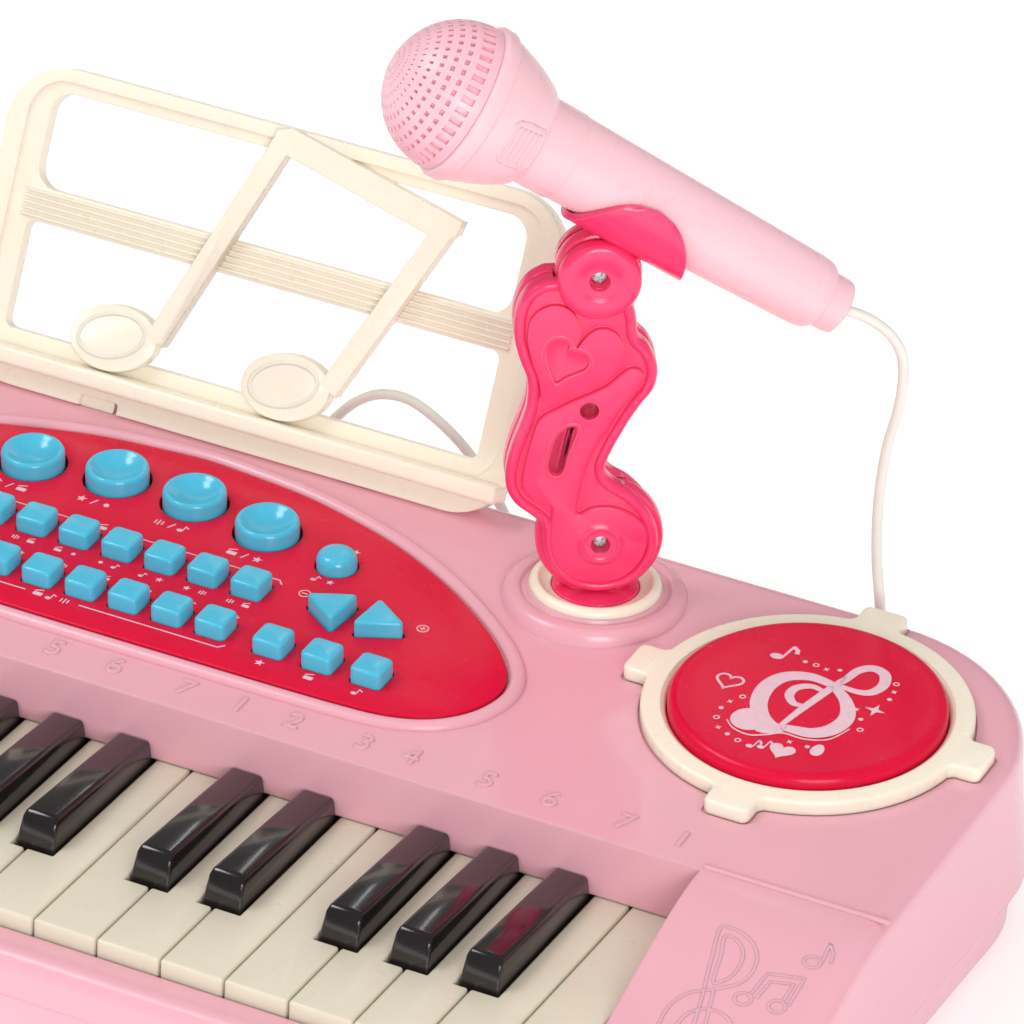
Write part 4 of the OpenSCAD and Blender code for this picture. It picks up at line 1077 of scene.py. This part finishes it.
LOWER_FACE = ((-19.7, 124.6), (-15.2, 127.8), (-10.5, 130.6), (-5.5, 133.1), (-0.8, 135.9), (2.4, 139.2),
              (5.2, 141.4), (8.2, 141.2), (9.6, 138.6), (7.8, 134.0), (3.6, 128.0), (-0.6, 120.2),
              (-4.2, 112.3), (-6.2, 105.3), (-7.2, 98.4), (-7.2, 93.2), (-3.4, 95.2), (0.6, 95.9),
              (5.0, 95.2), (9.2, 93.0), (12.4, 89.6), (13.6, 85.3), (13.0, 80.4), (10.6, 75.7),
              (6.2, 71.8), (0.2, 70.2), (-6.2, 71.2), (-11.2, 74.5), (-14.0, 79.4), (-15.0, 85.4),
              (-14.8, 91.4), (-15.0, 95.6), (-18.4, 96.6), (-22.0, 99.2), (-23.9, 103.4), (-22.9, 112.0),
              (-21.6, 118.4))
SLOT = ((-9.3, 122.4), (-12.8, 121.2), (-15.1, 117.7), (-16.2, 112.6), (-16.5, 108.2), (-15.2, 106.2),
        (-13.4, 106.1), (-12.0, 107.8), (-11.0, 113.1), (-9.0, 119.6))
SEE_THROUGH = (-5.6, 127.5, 2.8)


def curve_outline(points, steps=4):
    """A smooth closed outline through flat points, turned anticlockwise."""
    loop = [p[:2] for p in smooth_loop([(x, y, 0) for x, y in points], steps)]
    area = sum(a[0] * b[1] - b[0] * a[1] for a, b in zip(loop, loop[1:] + loop[:1]))
    return loop if area > 0 else loop[::-1]


def shrunk(outline, inward):
    """The anticlockwise outline moved inwards by a short way, point by point."""
    points = [Vector(p) for p in outline]
    out = []
    for i, p in enumerate(points):
        along = (points[(i + 1) % len(points)] - points[i - 1]).normalized()
        out.append(tuple(p + Vector((-along.y, along.x)) * inward))
    return out


def arm_plate(name, front):
    """One half of the arm: a rounded rim, a sunk face and raised hearts and scrolls on it."""
    face = ARM_FACE if front else ARM_FACE @ Matrix.Scale(-1, 4, (0, 0, 1))
    edge = curve_outline(ARM_EDGE, 5)
    half = bevelled(prism(name, edge, 0.05, 5.4, face), 1.2, 3, 50)
    rim = stroke("rim", [(x, y, 4.7) for x, y in shrunk(edge, 1.75)], 1.75, face, closed=True, flat=1.25,
                 sides=12)
    heart_plate = bevelled(prism("heart", curve_outline(BIG_HEART), 4.6, 7.3, face), 0.7, 3, 50)
    cut(heart_plate, bevelled(prism("recess", curve_outline(SMALL_HEART), 5.9, 12, face), 0.5, 2, 50))
    heart_line = [(x, y, 7.15) for x, y in shrunk(curve_outline(SMALL_HEART), -0.7)]
    heart_rim = stroke("heart_rim", heart_line, 0.55, face, closed=True, flat=0.8)
    lower = bevelled(prism("lower", curve_outline(LOWER_FACE), 4.6, 7.2, face), 0.7, 3, 50)
    cut(lower, prism("slot", curve_outline(SLOT), 5.4, 12, face))
    slot_line = [(x, y, 7.0) for x, y in shrunk(curve_outline(SLOT), -0.6)]
    slot_rim = stroke("slot_rim", slot_line, 0.5, face, closed=True, flat=0.8)
    bosses = []
    for (x, z), r, rise in ((PIVOT_LOW, 5.9, 0.0), (PIVOT_TOP, 10.4, 1.5)):
        place = face @ Matrix.Translation((x, z, rise))
        profile = [(2.9, 3.4), (r + 1.6, 3.4), (r + 1.6, 6.3), (r + 1.1, 7.0), (r + 0.3, 7.5),
                   (r - 0.6, 7.7)]
        if rise:
            profile += [(7.4, 7.6), (6.2, 7.35), (5.2, 6.9), (4.0, 6.7)]
        else:
            profile += [(r - 1.3, 7.3), (r - 1.8, 6.6), (4.0, 6.5)]
        profile += [(3.2, 6.7), (2.9, 6.3)]
        bosses.append(lathe("boss", profile, place, 64))
    for (x, z), r in ((PIVOT_LOW, 19.2), (PIVOT_TOP, 13.0)):
        cut(half, prism("hollow", disc_outline(x, z, r, 64), -1, 3.3, face))
        for piece in (half, lower):
            cut(piece, prism("screw_hole", disc_outline(x, z, 2.9, 32), 3.9 if front else 20, 22, face))
        cut(half, prism("shank_hole", disc_outline(x, z, 1.6, 24), -1, 12, face))
    x, z, r = SEE_THROUGH
    for piece in (half, lower):
        cut(piece, prism("see_through", disc_outline(x, z, r, 32), -12, 12, face))
    parts = [half, rim, heart_plate, heart_rim, lower, slot_rim, *bosses]
    if not front:
        for x, z in (PIVOT_LOW, PIVOT_TOP):
            pin = [(1.3, -3.2), (4, -3.2), (4, 5.0), (1.3, 5.0)]
            parts.append(lathe("pin", pin, ARM_FACE @ Matrix.Translation((x, z, 0)), 48))
            cap = [(0, 6.2), (3.0, 6.2), (3.0, 6.9), (0, 7.0)]
            parts.append(lathe("cap", cap, face @ Matrix.Translation((x, z, 0)), 32))
    return join(name, parts)


def make_arm():
    for name, node, front in (("arm_plate_front", "arm_front", True),
                              ("arm_plate_back", "arm_back", False)):
        part = arm_plate(name, front)
        show(part, HOT, "arm", node, 38)
    eye = [(4.08, -3.0), (17.2, -3.0), (18.3, -2.6), (18.7, -1.6), (18.7, 1.6), (18.3, 2.6), (17.2, 3.0),
           (4.08, 3.0)]
    foot = lathe("arm_foot_eye", eye, ARM_FACE @ Matrix.Translation((*PIVOT_LOW, 0)), 96)
    base = lathe("base",
                 [(0, 55.5), (16, 55.5), (16, 58.5), (13, 58.5), (13, 65.6), (12.6, 66.2), (0, 66.2)],
                 Matrix.Translation((ARM_X, ARM_Y, 0)), 64)
    foot = join("arm_foot_eye", [foot, base])
    show(foot, HOT, "arm_foot", "arm_foot", 38)
    ring = [(13.15, 59), (17, 59), (17, 65.2), (19.4, 65.2), (19.6, 66.0), (19.2, 67.2), (18.2, 67.9),
            (17.0, 67.9), (16.2, 67.2), (15.4, 66.3), (14.0, 66.0), (13.15, 65.8)]
    collar = lathe("arm_collar_trim", ring, Matrix.Translation((ARM_X, ARM_Y, 0)))
    show(collar, CREAM, "root", "arm_collar", 38)
    parts = []
    for x, z in (PIVOT_LOW, PIVOT_TOP):
        place = ARM @ Matrix.Translation((x, -ARM_T + 1.9, z)) @ Matrix.Rotation(-math.pi / 2, 4, "X")
        profile = [(0, 0.0), (1.6, 0.05), (2.3, 0.35), (2.6, 0.9), (2.6, 1.3), (1.22, 1.3), (1.22, 9),
                   (0, 9)]
        screw = lathe("screw", profile, place, 32)
        for turn in (0, math.pi / 2):
            turned = place @ Matrix.Rotation(turn + 0.4, 4, "Z")
            cut(screw, box("drive", (-1.7, -0.35, -1), (1.7, 0.35, 0.7), turned))
        parts.append(screw)
    screws = join("arm_screw_pair", parts)
    show(screws, STEEL, "arm", "arm_screws", 35)


# Microphone -----------------------------------------------------------------------------------
CLIP_U = 62.0
SADDLE_R = 13.2


def make_clip():
    """A half-moon saddle wrapped round the handle, on an eye between the arm's halves."""
    steps, rows = 48, 20
    reach = 19.6
    verts, faces = [], []
    for layer, r in ((0, SADDLE_R + 0.05), (1, SADDLE_R + 2.2)):
        for j in range(rows + 1):
            v = -1 + 2 * j / rows
            for i in range(steps + 1):
                angle = math.radians(108 * (2 * i / steps - 1))
                half = math.sqrt(1 - (2 * i / steps - 1) ** 2)
                u = CLIP_U + reach * max(0.02, half) * v
                ease = 1.0 - 0.28 * (1 - min(1.0,
                                             6 * min(i, steps - i) / steps + 6 * min(j, rows - j) / rows))
                rr = r if layer == 0 else SADDLE_R + 0.05 + (r - SADDLE_R) * min(1.0, ease)
                verts.append((rr * math.cos(angle), rr * math.sin(angle), u))
    n = steps + 1
    size = n * (rows + 1)
    for j in range(rows):
        for i in range(steps):
            a = j * n + i
            faces.append((a, a + n, a + n + 1, a + 1))
            faces.append((size + a, size + a + 1, size + a + n + 1, size + a + n))
    for i in range(steps):
        faces.append((i, i + 1, size + i + 1, size + i))
        b = rows * n
        faces.append((b + i, size + b + i, size + b + i + 1, b + i + 1))
    for j in range(rows):
        a = j * n
        faces.append((a, size + a, size + a + n, a + n))
        c = a + steps
        faces.append((c, c + n, size + c + n, size + c))
    saddle = new_mesh("saddle", verts, faces, MIC)
    px = (PIVOT_TOP[0] - MIC_X) * math.cos(MIC_TILT) + (MIC_Z - PIVOT_TOP[1]) * math.sin(MIC_TILT)
    pd = (MIC_Z - PIVOT_TOP[1]) * math.cos(MIC_TILT) - (PIVOT_TOP[0] - MIC_X) * math.sin(MIC_TILT)
    neck = bevelled(box("neck", (SADDLE_R + 1.2, -2.5, px - 8), (pd, 2.5, px + 8), MIC), 0.8, 2)
    edge = [(4.08, -3.0), (11.4, -3.0), (12.2, -2.6), (12.5, -1.8), (12.5, 1.8), (12.2, 2.6), (11.4, 3.0),
            (4.08, 3.0)]
    eye = lathe("eye", edge, ARM_FACE @ Matrix.Translation((*PIVOT_TOP, 0)), 64)
    neck_hole = prism("bore", disc_outline(*PIVOT_TOP, 4.08, 48), -9, 9, ARM_FACE)
    cut(neck, neck_hole)
    clip = join("mic_clip_saddle", [saddle, neck, eye])
    show(clip, HOT, "mic_clip", "mic_clip", 38)


MIC_PROFILE = [(0, 3), (20.2, 3), (20.2, -0.8), (22.5, -0.8), (23.1, -0.5), (23.6, 0.3), (23.6, 3.2),
               (23.3, 3.9), (22.6, 4.3), (22.3, 4.6), (22.15, 5.6), (21.6, 7.4), (20.9, 9.4),
               (19.9, 12.2), (18.7, 15.2), (17.4, 17.9), (16.2, 20.0), (15.3, 21.3), (14.6, 22.0),
               (13.95, 22.35), (13.55, 22.9), (13.4, 23.6), (13.3, 33.6), (13.15, 33.9), (13.0, 34.1),
               (12.9, 36), (11.2, 105), (10.9, 116.5), (10.5, 119.4), (9.6, 121.0), (8.7, 121.3),
               (8.5, 121.8), (8.4, 126.4), (8.0, 127.9), (7.0, 128.5), (2.2, 128.6), (0, 128.6)]
DOME_R = 22.3
DOME_U = -1.5
GRIP_ANGLE = -100.0


def neck_radius(u):
    for (r0, u0), (r1, u1) in zip(MIC_PROFILE[6:], MIC_PROFILE[7:]):
        if u0 <= u <= u1 and u1 > u0:
            return r0 + (r1 - r0) * (u - u0) / (u1 - u0)
    return MIC_PROFILE[6][0]


def on_neck(u, way, lift):
    """A point on the microphone's neck: way is the distance round it from the middle of the grip."""
    r = neck_radius(u)
    angle = math.radians(GRIP_ANGLE) + way / r
    return ((r + lift) * math.cos(angle), (r + lift) * math.sin(angle), u)


def grille_dome(name):
    """A dome of openings between ribs, long ones at the rim and small ones at the crown."""
    lats = [-1.5, 3, 18, 26.5, 35, 43.5, 52, 60, 67.5, 74, 80, 85]
    cols = 40
    half_rib = 0.78

    def at(lat, lon):
        c = DOME_R * math.cos(math.radians(lat))
        return (c * math.cos(lon), c * math.sin(lon), DOME_U - DOME_R * math.sin(math.radians(lat)))

    verts = [at(lat, 2 * math.pi * i / cols) for lat in lats for i in range(cols)]
    faces = []
    for j, (low, high) in enumerate(zip(lats, lats[1:])):
        if low < 0:
            for i in range(cols):
                faces.append((i, (i + 1) % cols, cols + (i + 1) % cols, cols + i))
            continue
        width = 2 * math.pi * DOME_R * math.cos(math.radians((low + high) / 2)) / cols
        height = math.radians(high - low) * DOME_R
        side = min(0.4, half_rib / width)
        end = min(0.4, (half_rib + 0.25) / height)
        for i in range(cols):
            after = (i + 1) % cols
            corners = [j * cols + i, j * cols + after, (j + 1) * cols + after, (j + 1) * cols + i]
            base = len(verts)
            for u, v in ((side, end), (1 - side, end), (1 - side, 1 - end), (side, 1 - end)):
                verts.append(at(low + (high - low) * v, 2 * math.pi * (i + u) / cols))
            for k in range(4):
                faces.append((corners[k], corners[(k + 1) % 4], base + (k + 1) % 4, base + k))
    top = (len(lats) - 1) * cols
    faces.append(tuple(range(top, top + cols)))
    dome = new_mesh(name, verts, faces, MIC)
    mod = dome.modifiers.new("wall", "SOLIDIFY")
    mod.thickness = 1.2 * MM
    mod.offset = -1
    return bake(dome)


def make_microphone():
    parts = [lathe("microphone_body", MIC_PROFILE, MIC, 128)]
    for i in range(5):
        u = 12.6 + i * 1.75
        rib = [on_neck(u, way, 0.1) for way in (-5, -3.5, -1.7, 0, 1.7, 3.5, 5)]
        parts.append(stroke("rib", rib, 0.55, MIC))
    frame_points = [on_neck(10.6, way, -0.1) for way in (-5.0, -2.5, 0, 2.5, 5.0)]
    frame_points += [on_neck(11.6, 6.4, -0.1), on_neck(15.4, 6.9, -0.1), on_neck(20.4, 6.4, -0.1)]
    frame_points += [on_neck(21.2, way, -0.1) for way in (5.0, 2.5, 0, -2.5, -5.0)]
    frame_points += [on_neck(20.4, -6.4, -0.1), on_neck(15.4, -6.9, -0.1), on_neck(11.6, -6.4, -0.1)]
    parts.append(stroke("grip_frame", frame_points, 0.5, MIC, closed=True))
    mic = join("microphone_body", parts)
    show(mic, MIC_PINK, "microphone", "mic_body", 30)
    dome = grille_dome("microphone_grille")
    show(dome, GRILLE_PINK, "microphone", "mic_grille", 40)
    inner = DOME_R - 1.1
    angles = [math.radians(a) for a in range(80, -1, -10)]
    bulge = [(0, DOME_U - inner)] + [(inner * math.cos(a), DOME_U - inner * math.sin(a)) for a in angles]
    core = lathe("microphone_core", bulge + [(20.1, 2.0), (0, 2.0)], MIC, 48)
    show(core, GRILLE_PINK, "microphone", smooth=40)


def make_plug():
    place = Matrix.Translation(JACK) @ Matrix.Rotation(-math.pi / 2, 4, "X")
    profile = [(0, 0.3), (4.5, 0.3), (5, 1), (5, 14.5), (4.4, 15.6), (3.6, 16.2)]
    for i in range(5):
        ridge, groove, z = 3.5 - i * 0.15, 2.7 - i * 0.12, 17 + i * 2.3
        profile += [(ridge, z), (ridge, z + 1.2), (groove, z + 1.4), (groove, z + 2.1)]
    profile += [(2.2, 28.6), (1.9, 29), (0, 29)]
    plug = lathe("jack_plug", profile, place, 48)
    tip = [(0, -14), (1.0, -13.8), (1.7, -12.6), (1.3, -11.6), (1.75, -10.6), (1.75, 0.3), (0, 0.3)]
    plug = join("jack_plug", [plug, lathe("pin", tip, place, 24)])
    show(plug, CABLE, "root", "mic_plug", 38)
    return plug


# Parts kept from the frame --------------------------------------------------------------------
def dress(node, mat):
    mesh = nodes[node].data
    mesh.materials.clear()
    mesh.materials.append(mat)


def make_stage():
    far = 6000
    floor = new_mesh("floor", [(-far, -far, 0), (far, -far, 0), (far, far, 0), (-far, far, 0)],
                     [(0, 1, 2, 3)])
    mat = bpy.data.materials.new("floor")
    mat.use_nodes = True
    bsdf = mat.node_tree.nodes["Principled BSDF"]
    bsdf.inputs["Base Color"].default_value = (0.93, 0.93, 0.93, 1)
    bsdf.inputs["Emission Color"].default_value = (1, 1, 1, 1)
    bsdf.inputs["Emission Strength"].default_value = 0.25
    bsdf.inputs["Roughness"].default_value = 0.55
    floor.data.materials.append(mat)
    world = bpy.data.worlds.new("studio")
    bpy.context.scene.world = world
    world.use_nodes = True
    tree = world.node_tree
    backdrop = tree.nodes["Background"]
    backdrop.inputs["Color"].default_value = (1.0, 0.99, 0.98, 1)
    path = tree.nodes.new("ShaderNodeLightPath")
    level = tree.nodes.new("ShaderNodeMapRange")
    level.inputs["To Min"].default_value = 0.72
    level.inputs["To Max"].default_value = 0.2
    tree.links.new(path.outputs["Is Glossy Ray"], level.inputs["Value"])
    tree.links.new(level.outputs["Result"], backdrop.inputs["Strength"])

    def lamp(name, place, target, size, power):
        data = bpy.data.lights.new(name, "AREA")
        data.shape = "RECTANGLE"
        data.size, data.size_y = size
        data.energy = power
        obj = bpy.data.objects.new(name, data)
        bpy.context.scene.collection.objects.link(obj)
        obj.location = place
        aim = Vector(target) - Vector(place)
        obj.rotation_mode = "QUATERNION"
        obj.rotation_quaternion = aim.to_track_quat("-Z", "Y")

    lamp("key", (-1.0, -0.4, 1.7), (0, 0, 0.05), (0.8, 0.6), 11)
    lamp("front", (1.5, -2.0, 0.9), (0, 0, 0.05), (1.2, 0.9), 30)
    lamp("streak", (-0.75, 1.9, 1.75), (0.15, 0, 0.06), (0.05, 0.9), 0.5)


make_camera()
make_cable(make_plug())
make_shell()
make_shell_details()
make_cheeks()
for number in range(1, WHITE_KEYS + 1):
    make_white_key(number)
for number in range(1, BLACK_KEYS + 1):
    make_black_key(number)
make_panel()
make_prints()
make_buttons()
make_drum()
make_speaker()
make_stand()
make_arm()
make_clip()
make_microphone()
dress("lower_shell", SHELL_DARK)
dress("battery_door", SHELL_DARK)
dress("circuit_board", BOARD)
dress("case_screws", STEEL)
dress("speaker", DARK)
make_stage()
